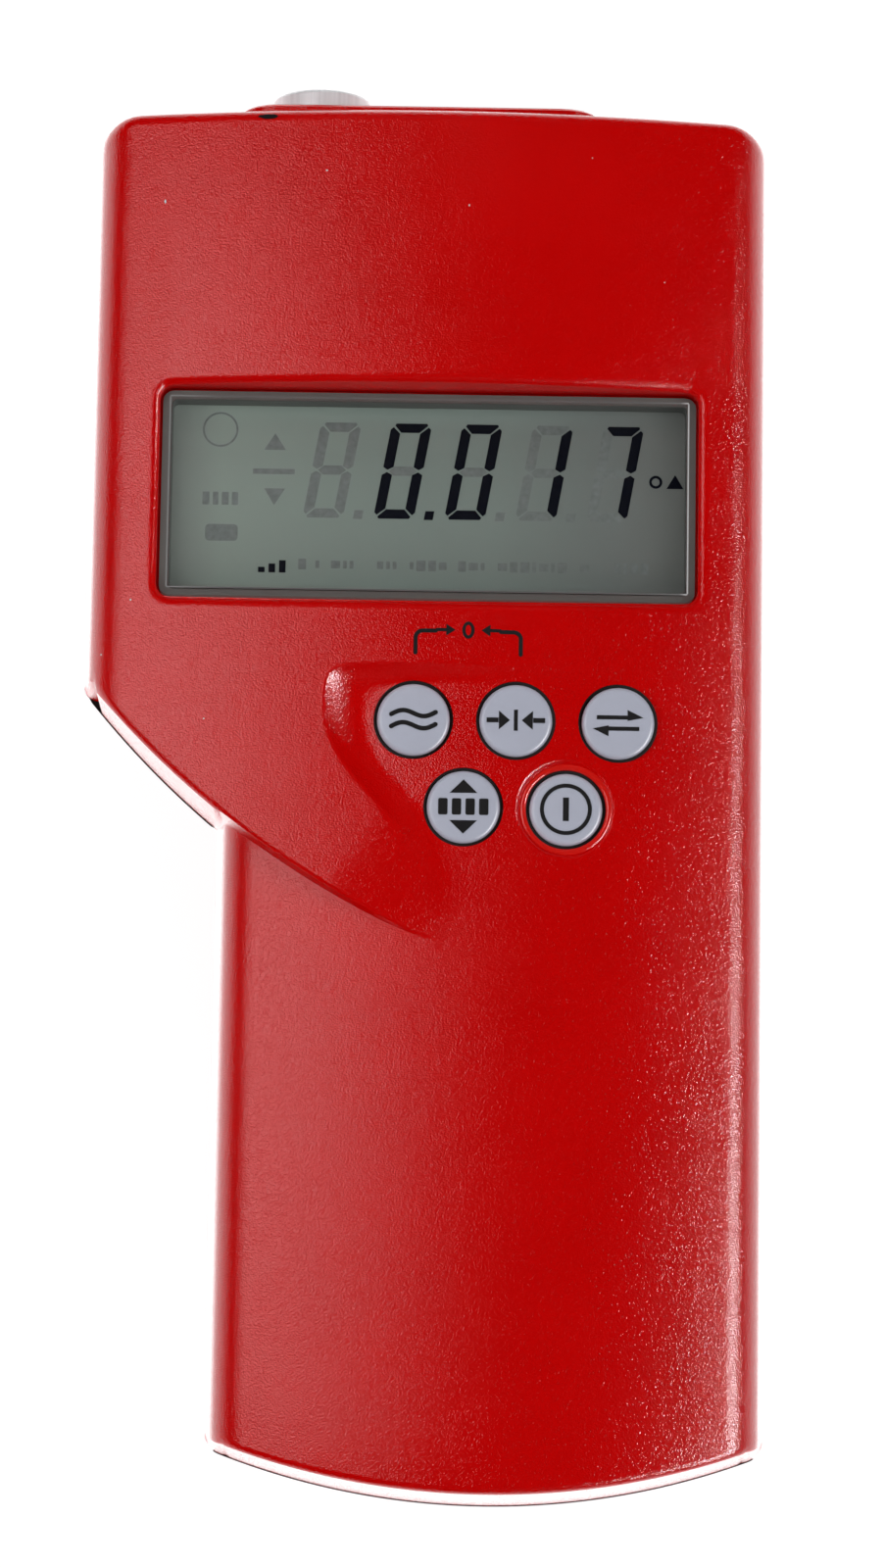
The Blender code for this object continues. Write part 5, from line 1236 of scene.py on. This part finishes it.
# Keys
KEY_SHRINK = 0.00013
KEY_ROUND = 0.0007
KEY_DOME = 0.00007
# Sizes of the black ring of painted shade in each key's gap
GAP_SHADE_DROP = 0.00018
GAP_SHADE_DEPTH = 0.0012
GAP_SHADE_KEY_GAP, GAP_SHADE_HOLE_GAP = 0.00003, 0.00002
LIP_HALF_WIDTH = 0.00043
LIP_HEIGHT = 0.0003
LIP_ROOT = 0.0002


def dress_key(name):
    """Cap with a soft round edge, on its own body."""
    low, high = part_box(name)
    x, y = KEYS[name]
    top, bottom = high.z, low.z
    radius = KEY_DIAMETER / 2 - KEY_SHRINK
    edge, dome = KEY_ROUND, KEY_DOME
    inner = radius - edge
    profile = [(0.0, top)]
    for i in range(1, 7):
        profile.append((inner * i / 6, top - dome * (i / 6) ** 2))
    for i in range(1, 9):
        turn = math.pi / 2 * i / 8
        profile.append((
            inner + edge * math.sin(turn), top - dome - edge * 0.8 * (1 - math.cos(turn))
        ))
    flange = KEY_DIAMETER / 2 + KEY_FLANGE
    under = floor_z(x + math.copysign(flange, x - HANDLE_MID_X)) - WALL - GAP
    profile += [
        (radius, under), (flange, under), (flange, under - KEY_FLANGE_THICKNESS),
        (KEY_STEM_DIAMETER / 2, under - KEY_FLANGE_THICKNESS),
        (KEY_STEM_DIAMETER / 2, bottom), (0.0, bottom),
    ]
    cap = smooth(moved(revolve(f"{name}_look", profile, 72), x, y), 50)
    dress(cap, KEY_GREY, f"{name}_cap", (name,))


def key_gap_shade(name):
    """Black ring set in the gap round each cap: painted shade that makes the gap read dark."""
    x, y = KEYS[name]
    radius = KEY_DIAMETER / 2
    top = key_floor_z(name) - GAP_SHADE_DROP
    inner = radius - KEY_SHRINK + GAP_SHADE_KEY_GAP
    outer = radius + KEY_HOLE_CLEARANCE - GAP_SHADE_HOLE_GAP
    low = top - GAP_SHADE_DEPTH
    ring = moved(
        revolve(f"{name}_gap_shade_ring", [(inner, top), (outer, top), (outer, low), (inner, low)]), x, y
    )
    dress(smooth(ring), BLACK_SEAL_AND_GAP_SHADE)


def power_lip():
    """Smooth round lip between the power key and its dish, in a lighter red that paints its sheen.
    """
    x, y = KEYS["key_power"]
    base = key_floor_z("key_power")
    inner = KEY_DIAMETER / 2 + KEY_HOLE_CLEARANCE
    middle, half = inner + LIP_HALF_WIDTH, LIP_HALF_WIDTH
    profile = []
    for i in range(11):
        turn = math.pi * i / 10
        profile.append((middle - half * math.cos(turn), base + LIP_HEIGHT * math.sin(turn)))
    profile += [(middle + half, base - LIP_ROOT), (middle - half, base - LIP_ROOT)]
    lip = moved(revolve("power_key_lip", profile, 72), x, y)
    dress(smooth(lip, 60), RED_SMOOTH_PAINTED_SHEEN)


# Flat marks
PRINT_LIFT = 0.00001
PRINT_THICKNESS = 0.00003
SYMBOL_LIFT = 0.000005
RIM_MARK_LIFT = 0.00005


class Marks:
    """Thin flat shapes in one mesh at one height, in millimetres from an origin."""

    def __init__(self, name, z, thickness=0.00002, origin=(0.0, 0.0), unit=MM):
        self.name, self.z, self.thickness = name, z, thickness
        self.origin, self.unit = origin, unit
        self.form = bmesh.new()

    def shape(self, outline):
        area = sum(a[0] * b[1] - b[0] * a[1] for a, b in zip(outline, outline[1:] + outline[:1]))
        if area < 0:
            outline = outline[::-1]
        x, y = self.origin
        outline = [(x + px * self.unit, y + py * self.unit) for px, py in outline]
        low, high = (
            [self.form.verts.new((px, py, z)) for px, py in outline]
            for z in (self.z, self.z + self.thickness)
        )
        self.form.faces.new(low[::-1])
        self.form.faces.new(high)
        for i in range(len(outline)):
            j = (i + 1) % len(outline)
            self.form.faces.new([low[i], low[j], high[j], high[i]])

    def stroke(self, points, width):
        """A ribbon along points with round ends."""
        left, right = [], []
        for i, (x, y) in enumerate(points):
            before, after = points[max(i - 1, 0)], points[min(i + 1, len(points) - 1)]
            dx, dy = after[0] - before[0], after[1] - before[1]
            size = math.hypot(dx, dy)
            nx, ny = -dy / size * width / 2, dx / size * width / 2
            left.append((x + nx, y + ny))
            right.append((x - nx, y - ny))

        def cap(end, before):
            turn = math.atan2(end[1] - before[1], end[0] - before[0]) + math.pi / 2
            turns = [turn - math.pi * i / 6 for i in range(1, 6)]
            return [
                (end[0] + width / 2 * math.cos(a), end[1] + width / 2 * math.sin(a)) for a in turns
            ]

        self.shape(left + cap(points[-1], points[-2]) + right[::-1] + cap(points[0], points[1]))

    def box(self, x, y, width, height, corner=0.0):
        if corner:
            self.shape(rounded_rectangle(x, y, width, height, corner, 3))
        else:
            w, h = width / 2, height / 2
            self.shape([(x - w, y - h), (x + w, y - h), (x + w, y + h), (x - w, y + h)])

    def ring(self, x, y, radius, width, height=None, steps=48):
        """An upright oval ring in two halves, so that each outline is simple."""
        rise = height / 2 if height else radius
        for start in (0, 180):
            turns = [math.radians(start + 180 * i / steps) for i in range(steps + 1)]
            outer, inner = (
                [(x + across * math.cos(a), y + up * math.sin(a)) for a in turns]
                for across, up in ((radius, rise), (radius - width, rise - width))
            )
            self.shape(outer + inner[::-1])

    def done(self, look, slot, body=ROOT):
        mesh = bpy.data.meshes.new(self.name)
        self.form.to_mesh(mesh)
        self.form.free()
        return dress(linked(bpy.data.objects.new(self.name, mesh)), look, body)


def average_sign(marks):
    for shift in (0.78, -0.78):
        steps = [-1 + 2 * i / 24 for i in range(25)]
        wave = [(2.8 * at, shift + 0.45 * math.sin(-math.pi * at) + 0.16 * at) for at in steps]
        marks.stroke(wave, 0.58)


def tare_sign(marks):
    for side in (-1, 1):
        marks.shape([(side * 0.75, 0), (side * 2.15, 1.2), (side * 2.15, -1.2)])
        marks.box(side * 2.95, 0, 1.5, 0.62)
    marks.box(0, 0, 0.5, 2.7)


def units_sign(marks):
    for side in (-1, 1):
        y, tip = side * 0.72, side * 3.2
        marks.box(-side * 0.75, y, 3.9, 0.52)
        upper, lower = (0.98, -0.42) if side > 0 else (0.42, -0.98)
        marks.shape([(tip, y), (tip - side * 2.0, y + upper), (tip - side * 2.0, y + lower)])


def leak_sign(marks):
    for side in (-1, 1):
        marks.shape([(0, side * 3.45), (-1.75, side * 1.75), (1.75, side * 1.75)])
    for i in range(4):
        marks.box((i - 1.5) * 1.72, 0, 1.18, 2.1, 0.2)


def power_sign(marks):
    marks.ring(0, 0, 3.28, 0.50)
    marks.box(0, 0, 0.76, 3.0)


def symbols():
    """The signs on the key caps, in millimetres from each cap's middle."""
    for name, draw in (
        ("key_average", average_sign), ("key_tare", tare_sign), ("key_units", units_sign),
        ("key_leak", leak_sign), ("key_power", power_sign),
    ):
        _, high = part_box(name)
        marks = Marks(f"{name}_symbol", high.z + SYMBOL_LIFT, origin=KEYS[name])
        draw(marks)
        marks.done(BLACK_INK, "black_bond", f"{name}_cap")


# Display, in millimetres
SLANT = math.tan(math.radians(10.0))
DIGIT_WIDTH, DIGIT_HEIGHT = 5.23, 12.6
DIGIT_LOW_Y, DIGIT_PITCH = 35.65, 9.145
DIGIT_FIRST_X = -5.95
DIGIT_MID_Y = 42.0
UPRIGHT, LEVEL, SPACE = 1.32, 1.22, 0.11
DIGIT_CORNER, DIGIT_TIP, MIDDLE_TIP = 0.38, 0.42, 0.2
POINT = ((6.55, -0.1), (7.7, -0.1), (7.7, 1.05), (6.55, 1.05))
LIT_SEGMENTS = {0: "abcdef", 1: "abcdef", 2: "bc", 3: "abc"}


def segment_outlines():
    """The seven segments of one digit, upright, from its lower left corner."""
    w, h, v, l, s = DIGIT_WIDTH, DIGIT_HEIGHT, UPRIGHT, LEVEL, SPACE
    c, tip, nose = DIGIT_CORNER, DIGIT_TIP, MIDDLE_TIP
    m = h / 2
    top = [(c + s, h - c + s), (c + 2.4 * s, h), (w - c - 2.4 * s, h), (w - c - s, h - c + s),
           (w - v - s, h - l), (v + s, h - l)]
    upper = [(0, m + tip + s), (v * 0.45, m + s * 1.3), (v, m + tip + s), (v, h - l - s * 1.2),
             (c - s * 0.4, h - c - s), (0, h - c - 4 * s)]
    lower = [(x, h - y) for x, y in upper]
    middle = [(v * 0.62, m), (v + nose, m + l / 2), (w - v - nose, m + l / 2),
              (w - v * 0.62, m), (w - v - nose, m - l / 2), (v + nose, m - l / 2)]
    return {
        "a": top, "d": [(x, h - y) for x, y in top],
        "f": upper, "b": [(w - x, y) for x, y in upper],
        "e": lower, "c": [(w - x, y) for x, y in lower], "g": middle,
    }


def on_digit(index, outline):
    """An outline moved to a digit's place and leaned with it."""
    left = DIGIT_FIRST_X + index * DIGIT_PITCH
    return [
        (left + x + (DIGIT_LOW_Y + y - DIGIT_MID_Y) * SLANT, DIGIT_LOW_Y + y) for x, y in outline
    ]


def display():
    _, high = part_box("lcd_glass")
    dark = Marks("lcd_digits", high.z + PRINT_LIFT, PRINT_THICKNESS)
    ghost = Marks("lcd_ghost_segments", high.z + PRINT_LIFT, 0.00001)
    outlines = segment_outlines()
    for index in range(-1, 4):
        for key, outline in outlines.items():
            lit = key in LIT_SEGMENTS.get(index, "")
            (dark if lit else ghost).shape(on_digit(index, outline))
        if index < 3:
            (ghost if index else dark).shape(on_digit(index, POINT))

    ghost.shape([(-19.9, 46.7), (-21.3, 44.5), (-18.5, 44.5)])
    ghost.box(-20.0, 41.65, 5.4, 0.7)
    ghost.shape([(-19.9, 37.2), (-21.2, 39.4), (-18.5, 39.4)])
    for i, width in enumerate((0.9, 0.7, 0.9, 0.8)):
        ghost.box(-28.7 + 1.25 * i, 38.0, width, 1.7, 0.1)
    ghost.box(-26.6, 33.5, 4.2, 2.2, 0.5)
    ghost.ring(-27.0, 47.1, 2.3, 0.25)

    rng = random.Random(7)
    x = -16.6
    while x < 28.0:
        width = rng.choice((0.5, 0.8, 1.0, 1.2))
        if rng.random() > 0.16:
            ghost.box(x + width / 2, 29.5, width, rng.choice((1.0, 1.4)), 0.1)
        x += width + 0.35

    for i, height in enumerate((0.7, 1.15, 1.6)):
        dark.box(-21.35 + 1.35 * i, 28.35 + height / 2, 0.85, height)
    dark.ring(29.35, 41.0, 0.85, 0.34, 1.7)
    dark.shape([(30.75, 40.15), (32.95, 40.15), (31.85, 42.0)])
    dark.done(ink("lcd_dark", (0.0020, 0.0026, 0.0105), 0.35), "black_bond")
    ghost.done(ink("lcd_ghost", (0.305, 0.330, 0.330), 0.32), "lcd_cell")


PANE_STEP = 0.00030
PANE_BEVEL = 0.00016
PANE_LINE = 0.00018
LINER_LESS = (0.0001, 0.0003)
LINER_LOW_GAP, LINER_HIGH_GAP = 0.0001, 0.00005


def pane():
    """Clear pane: a low border and a raised middle with a narrow bevel that catches light, ringed by
    painted highlight lines.
    """
    low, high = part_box("display_window")
    top, bottom = high.z, low.z
    step, bevel = PANE_STEP, PANE_BEVEL
    rings = []
    for width, height, corner, z in (
        (PANE_WIDTH, PANE_HEIGHT, PANE_CORNER, bottom),
        (PANE_WIDTH, PANE_HEIGHT, PANE_CORNER, top - step - bevel * 0.6),
        (PANE_WIDTH - bevel, PANE_HEIGHT - bevel, PANE_CORNER, top - step),
        (VIEW_WIDTH, VIEW_HEIGHT, PANE_CORNER * 0.5, top - step),
        (VIEW_WIDTH - 2 * bevel, VIEW_HEIGHT - 2 * bevel, PANE_CORNER * 0.5, top),
    ):
        outline = rounded_rectangle(WINDOW_X, WINDOW_Y, width, height, corner, 8)
        rings.append([(x, y, z) for x, y in outline])
    made = smooth(linked(loft("display_window_look", rings)), 20)
    dress(made, clear_pane(), replaced=("display_window",))

    outer, inner = (
        rounded_rectangle(
            WINDOW_X, WINDOW_Y, VIEW_WIDTH - less, VIEW_HEIGHT - less, PANE_CORNER / 2
        )
        for less in LINER_LESS
    )
    low, high = LCD_TOP_Z + LINER_LOW_GAP, bottom - LINER_HIGH_GAP
    liner = ring_prism("window_liner", outer, inner, low, high)
    dress(linked(liner), moulded("liner_grey", (0.12, 0.125, 0.12), 0.5))

    # Painted highlights: thin lines round the raised middle, lighter at the left, brightest at the
    # right end, darker along the bottom
    edges = Marks("pane_edge_painted_highlights", top - step + PRINT_LIFT, PRINT_THICKNESS, unit=1.0)
    wide, tall, line = VIEW_WIDTH / 2, VIEW_HEIGHT / 2, PANE_LINE
    for side in (-1, 1):
        edges.box(WINDOW_X + side * (wide + line / 2), WINDOW_Y, line, VIEW_HEIGHT)
    for side in (1, -1):
        edges.box(WINDOW_X, WINDOW_Y + side * (tall + line / 2), VIEW_WIDTH + line, line)
    look = Look("painted_edge_highlight", (0.5, 0.5, 0.48), 0.4)
    x, y, _ = look.axes()
    across = look.ramp(
        look.math("MULTIPLY_ADD", x, *ACROSS_SPAN),
        ((0.0, 0.25), (0.1, 0.13), (0.9, 0.15), (0.985, 0.18), (0.995, 0.56)),
    )
    up = look.ramp(
        look.math("MULTIPLY_ADD", y, *UP_SPAN), ((0.0, 0.25), (0.04, 1.0), (1.0, 1.0))
    )
    look.colour(look.mix(1.0, across, up, "MULTIPLY"))
    edges.done(look.made, "clear_window")


# Print on the case
def on_face(obj, lift):
    """Lays a flat mark on the crowned face."""
    low = min(v.co.z for v in obj.data.vertices)
    for vertex in obj.data.vertices:
        x, y, z = vertex.co
        vertex.co.z = OUTER_FACE.head_z(x, y) + lift + (z - low)


def face_marks():
    """Bracket over the first two keys, round a plain 0 between arrows."""
    marks = Marks("zero_bracket", 0.0, PRINT_THICKNESS)
    foot, top, bend = 16.5, 19.35, 0.9
    for inward, start in ((1, -1.28), (-1, 12.07)):
        line = [(start, foot), (start, foot + bend)]
        for i in range(7):
            turn = math.pi / 2 * i / 6
            line.append((
                start + inward * bend * (1 - math.cos(turn)), top - bend * (1 - math.sin(turn))
            ))
        line += [(start + inward * (bend + 0.55 * i), top) for i in range(1, 4)]
        marks.stroke(line, 0.52)
    x, y = 5.4, 19.5
    marks.ring(x, y, 0.78, 0.42, 2.2)
    for side in (-1, 1):
        tip = x + side * 1.65
        marks.shape([(tip, y), (tip + side * 1.15, y + 0.75), (tip + side * 1.15, y - 0.75)])
        for i in range(3):
            marks.box(tip + side * (1.35 + 0.45 * i), y, 0.46, 0.42)
    on_face(marks.done(BLACK_INK, "black_bond"), PRINT_LIFT)


# Metal and the carried-over pieces
BORE_BREAK = 0.0004
SKIRT_DEPTH = 0.0009
SKIRT_STEP = 0.0003
THREAD_PITCH = 0.0009
THREAD_DEPTH = 0.0004
STEM_THREAD_START = 0.0008
STEM_RUNOUT = 0.0012
BORE_FOOT = 0.0003
BORE_RUNOUT = 0.0010


def thread(radius, start, reach, way):
    """A thread's outline along the port's axis, from a start towards -Y or +Y."""
    found = []
    for i in range(int(reach / THREAD_PITCH)):
        y = start + way * i * THREAD_PITCH
        found += [
            (radius, y), (radius - THREAD_DEPTH, y + way * THREAD_PITCH * 0.45),
            (radius, y + way * THREAD_PITCH * 0.9),
        ]
    return found


def dress_port():
    low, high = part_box("pressure_port")
    boss, stem = PORT_BOSS_DIAMETER / 2, PORT_STEM_DIAMETER / 2
    bore, spigot, passage = PORT_BORE_DIAMETER / 2, BARB_DIAMETER / 2, PORT_PASSAGE_DIAMETER / 2
    flange_y = HEAD_TOP_Y + PAD_PROUD + PORT_SEAL_THICKNESS + 2 * SLACK
    end, bore_end = PORT_STEM_END_Y, PORT_END_Y - PORT_BORE_DEPTH
    profile = [(bore + BORE_BREAK, PORT_END_Y)]
    for i in range(7):
        turn = math.pi / 2 * i / 6
        profile.append((
            boss - PORT_CHAMFER + PORT_CHAMFER * math.sin(turn),
            PORT_END_Y - PORT_CHAMFER * (1 - math.cos(turn)),
        ))
    skirt, lip = flange_y - SKIRT_DEPTH, boss - SKIRT_STEP
    profile += [(boss, skirt), (lip, skirt), (lip, flange_y), (stem, flange_y)]
    profile += thread(stem, flange_y - STEM_THREAD_START, flange_y - end - STEM_RUNOUT, -1)
    profile += [
        (stem, end), (spigot, end), (spigot, end - BARB_LENGTH), (passage, end - BARB_LENGTH),
        (passage, bore_end - bore * 0.5), (bore - BORE_FOOT, bore_end),
    ]
    profile += thread(bore, bore_end + BORE_FOOT, PORT_BORE_DEPTH - BORE_RUNOUT, 1)
    profile.append((bore, PORT_END_Y - BORE_BREAK))
    port = revolve("pressure_port_look", [(r, y - PORT_END_Y) for r, y in profile], 72)
    moved(port, PORT_X, PORT_END_Y, PORT_Z, True)
    seal = revolve("port_seal_look", [
        (stem + GAP, PORT_SEAL_THICKNESS), (lip - SLACK, PORT_SEAL_THICKNESS),
        (lip - SLACK, 0.0), (stem + GAP, 0.0),
    ])
    moved(seal, PORT_X, HEAD_TOP_Y + PAD_PROUD + SLACK, PORT_Z, True)
    dress(smooth(seal), BLACK_RUBBER, replaced=("port_seal",))
    # Nickel-plated port: its near-white, mostly non-metal colour is painted reflection of the bright
    # surroundings
    look = metal("nickel_plate", (0.93, 0.93, 0.95), 0.42, (2600, 60, 2600), 0.1)
    dress(smooth(port, 28), look, replaced=("pressure_port",))


def dress_door():
    outline = rounded_rectangle(BATTERY_MID_X, DOOR_Y, DOOR_WIDTH, DOOR_LENGTH, DOOR_CORNER, 10)
    door = linked(prism("battery_door_look", outline, 0.0, DOOR_THICKNESS))
    bevel = door.modifiers.new("edge", "BEVEL")
    bevel.width, bevel.segments = 0.0004, 3
    bevel.limit_method, bevel.angle_limit = "ANGLE", math.radians(60)
    for name, diameter, low, high in (
        ("door_screw_sinks", BOARD_SCREW_HEAD, -OVERCUT, DOOR_SCREW_SINK),
        ("door_screw_holes", BOARD_SCREW_SHANK, 0.0, DOOR_THICKNESS + OVERCUT),
    ):
        radius = diameter / 2 + SCREW_CLEARANCE
        boolean(door, cylinders(name, DOOR_SCREWS, radius, low, high, 40))
    look = finished(door, "battery_door_look")
    dress(look, RED, replaced=("battery_door",))


# Place and size of each speck, in millimetres
SPECKS = (
    (-34.6, 76.0, 0.22, 0.5), (-13.7, 79.6, 0.30, 0.2), (4.7, 75.1, 0.2, 0.28),
    (-41.5, 16.7, 0.2, 0.2), (-37.8, 23.6, 0.2, 0.24), (-28.0, 8.0, 0.16, 0.16),
    (20.5, 82.0, 0.16, 0.2), (30.0, 66.0, 0.14, 0.16),
)


def small_marks():
    """Specks of dust on the face and a rubbed black mark on the top rim."""
    dust = Look("dust", (0.75, 0.72, 0.70), 0.6)
    specks = Marks("dust_specks", 0.0, PRINT_THICKNESS)
    for x, y, wide, tall in SPECKS:
        turns = [math.pi * i / 5 for i in range(10)]
        specks.shape([(x + wide / 2 * math.cos(a), y + tall / 2 * math.sin(a)) for a in turns])
    on_face(specks.done(dust.made, "case_red"), PRINT_LIFT)

    rub = Marks("rim_mark", 0.0, PRINT_THICKNESS)
    rng = random.Random(3)
    outline = []
    for i in range(20):
        turn = 2 * math.pi * i / 20
        wide, tall = 1.35 * rng.uniform(0.85, 1.1), 0.36 * rng.uniform(0.7, 1.15)
        outline.append((-21.4 + wide * math.cos(turn), 86.98 + tall * math.sin(turn)))
    rub.shape(outline)
    rub = rub.done(BLACK_INK, "black_bond")
    low = min(v.co.z for v in rub.data.vertices)
    for vertex in rub.data.vertices:
        x, y, z = vertex.co
        share = OUTER_FACE.head_end.share(OUTER_FACE.top_y(x) - y)
        face = FRONT_Z + (OUTER_FACE.head_z(x, y) - FRONT_Z) * share
        vertex.co.z = face + RIM_MARK_LIFT + (z - low)


GASKET_WIDTH = 0.0015
GASKET_PUSH = 0.00022
GASKET_LOW_Y = -0.0835
GASKET_STEP_INSET = 0.0002
GASKET_SHOULDER_DROP = 0.001


def dress_gasket():
    """The seal in the seam, which shows as a thin line round the shoulder and the low end."""
    points = case_outline(GASKET_INSET, 24)
    inner = case_outline(GASKET_INSET + GASKET_WIDTH, 24)
    outer = []
    for i, (x, y) in enumerate(points):
        before, after = points[i - 1], points[(i + 1) % len(points)]
        dx, dy = after[0] - before[0], after[1] - before[1]
        size = math.hypot(dx, dy)
        shows = x < HANDLE_LEFT_X - GASKET_STEP_INSET and y < SHOULDER_Y - GASKET_SHOULDER_DROP
        push = GASKET_PUSH if shows or y < GASKET_LOW_Y else 0.0
        outer.append((x + dy / size * push, y - dx / size * push))
    low = PARTING_Z - GASKET_THICKNESS / 2
    seal = ring_prism("case_gasket_look", outer, inner, low, low + GASKET_THICKNESS)
    dress(linked(seal), BLACK_SEAL_AND_GAP_SHADE, replaced=("case_gasket",))


def carried_over():
    """Materials for the nodes that stay as they are."""
    steel = metal("zinc_steel", (0.58, 0.58, 0.56), 0.36, (900, 900, 900))
    black = moulded("black_plastic", (0.018, 0.018, 0.019), 0.5)
    looks = {
        "door_seal": BLACK_RUBBER,
        "window_seal": moulded("bond_border", (0.21, 0.195, 0.19), 0.5),
        "lcd_glass": lcd_look_painted_shade(), "lcd_frame": black, "battery_snap": black,
        "lcd_connector_upper": moulded("elastomer_strip", (0.10, 0.10, 0.11), 0.7),
        "circuit_board": moulded("green_board", (0.02, 0.12, 0.05), 0.4),
        "main_chip": moulded("chip_epoxy", (0.015, 0.015, 0.015), 0.5),
        "battery_header": moulded("socket_plastic", (0.75, 0.74, 0.70), 0.5),
        "key_mat": moulded("grey_silicone", (0.30, 0.30, 0.31), 0.7),
        "port_nut": steel,
        "pressure_sensor": moulded("sensor_plastic", (0.05, 0.05, 0.06), 0.45),
        "sensor_tube": moulded("silicone_tube", (0.70, 0.70, 0.68), 0.4),
        "battery": moulded("battery_can", (0.25, 0.25, 0.27), 0.4),
        "battery_lead_red": moulded("lead_red", (0.55, 0.02, 0.02), 0.5),
        "battery_lead_black": moulded("lead_black", (0.015, 0.015, 0.015), 0.5),
        "battery_pad": moulded("grey_foam", (0.16, 0.16, 0.17), 0.9, 900, 0.0001),
    }
    looks["lcd_connector_lower"] = looks["lcd_connector_upper"]
    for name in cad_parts:
        if name.startswith(("case_screw", "board_screw", "door_screw")):
            looks[name] = steel
    for name, look in looks.items():
        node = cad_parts[name]
        node.data.materials.clear()
        node.data.materials.append(look)


# Studio
FLOOR_HALF = 3
FILM_HEIGHT = 24.0
FOCAL_PIXELS = 5000.0
PICTURE_HEIGHT = 1600.0
CAMERA_PLACE = (0.00229, -0.09911, 0.64352)
CAMERA_TIP = math.radians(9.2)
CAMERA_ROLL = math.radians(0.9)
LAMP_BASE_Z = 0.03
# Name, tip from straight up in degrees, distance, width, length, radiance, Y, turn in degrees
SOFTBOXES = (
    ("left_softbox", -31.5, 0.9, 0.50, 0.42, 4.6, 0.12, 28),
    ("right_softbox", 53, 0.9, 0.17, 0.95, 52.0, -0.44, 0),
)
FILLS = (
    ("left_fill", -0.8, 0.0), ("right_fill", 0.8, 0.0),
    ("far_fill", 0.0, 0.8), ("near_fill", 0.0, -0.8),
)
FILL_Z = 0.68
FILL_SIZE = 0.6
FILL_RADIANCE = 1.75


def studio():
    scene = bpy.context.scene
    scene.view_settings.view_transform = "Standard"
    size, low = FLOOR_HALF, -0.0001
    floor = linked(mesh_object(
        "floor", [(-size, -size, low), (size, -size, low), (size, size, low), (-size, size, low)],
        [[0, 1, 2, 3]],
    ))
    floor.data.materials.append(wire(
        bpy.data.materials.new("pale_floor"),
        {"out": "OutputMaterial", "plain": "BsdfDiffuse", "glow": "Emission", "path": "LightPath",
         "share": "Math MULTIPLY", "seen": "Math MAXIMUM", "strength": "Math MULTIPLY_ADD",
         "mixer": "MixShader"},
        (("plain", "Color", (0.86, 0.86, 0.86, 1.0)), ("share", 1, 0.7),
         ("strength", 1, 2.1), ("strength", 2, 1.3)),
        (("path", "Is Glossy Ray", "strength", 0), ("strength", 0, "glow", "Strength"),
         ("path", "Is Camera Ray", "seen", 0), ("path", "Is Glossy Ray", "seen", 1),
         ("seen", 0, "share", 0), ("share", 0, "mixer", 0), ("plain", 0, "mixer", 1),
         ("glow", 0, "mixer", 2), ("mixer", 0, "out", "Surface")),
    ))

    world = bpy.data.worlds.new("studio")
    scene.world = wire(
        world,
        {"out": "OutputWorld", "room": "Background", "white": "Background", "path": "LightPath",
         "mixer": "MixShader"},
        (("room", "Color", (1.0, 1.0, 1.0, 1.0)), ("room", "Strength", 0.12),
         ("white", "Color", (1.0, 1.0, 1.0, 1.0)), ("white", "Strength", 1.0)),
        (("path", "Is Camera Ray", "mixer", 0), ("room", 0, "mixer", 1), ("white", 0, "mixer", 2),
         ("mixer", 0, "out", "Surface")),
    )
    world.cycles_visibility.glossy = False


def lamp(name, width, length, radiance, place, turned):
    """A rectangular light of a given radiance that shines down its own -Z."""
    data = bpy.data.lights.new(name, "AREA")
    data.shape = "RECTANGLE"
    data.size, data.size_y = width, length
    data.energy = 4 * width * length * radiance
    light = linked(bpy.data.objects.new(name, data))
    light.matrix_world = Matrix.Translation(place) @ turned
    light.visible_camera = False
    return light


def lights():
    """Two softboxes tipped towards +X or -X, seen as shine only, and four fills that aren't."""
    for name, angle, distance, width, length, radiance, along, turn in SOFTBOXES:
        tip = math.radians(angle)
        place = Vector((distance * math.sin(tip), along, LAMP_BASE_Z + distance * math.cos(tip)))
        turned = Matrix.Rotation(tip, 4, "Y") @ Matrix.Rotation(math.radians(turn), 4, "Z")
        lamp(name, width, length, radiance, place, turned).visible_diffuse = False
    for name, x, y in FILLS:
        place = Vector((x, y, FILL_Z))
        turned = place.to_track_quat("Z", "Y").to_matrix().to_4x4()
        lamp(name, FILL_SIZE, FILL_SIZE, FILL_RADIANCE, place, turned).visible_glossy = False


def camera():
    data = bpy.data.cameras.new("camera")
    data.sensor_fit = "VERTICAL"
    data.sensor_height = FILM_HEIGHT
    data.lens = FILM_HEIGHT * FOCAL_PIXELS / PICTURE_HEIGHT
    cam = linked(bpy.data.objects.new("camera", data))
    spin = Matrix.Rotation(CAMERA_TIP, 4, "X") @ Matrix.Rotation(CAMERA_ROLL, 4, "Z")
    cam.matrix_world = Matrix.Translation(CAMERA_PLACE) @ spin
    data.clip_start, data.clip_end = 0.01, 20.0
    bpy.context.scene.camera = cam


camera()
studio()
lights()
dress_front()
dress_rear()
for key in KEYS:
    dress_key(key)
    key_gap_shade(key)
power_lip()
symbols()
display()
pane()
face_marks()
dress_port()
dress_door()
dress_gasket()
small_marks()
carried_over()
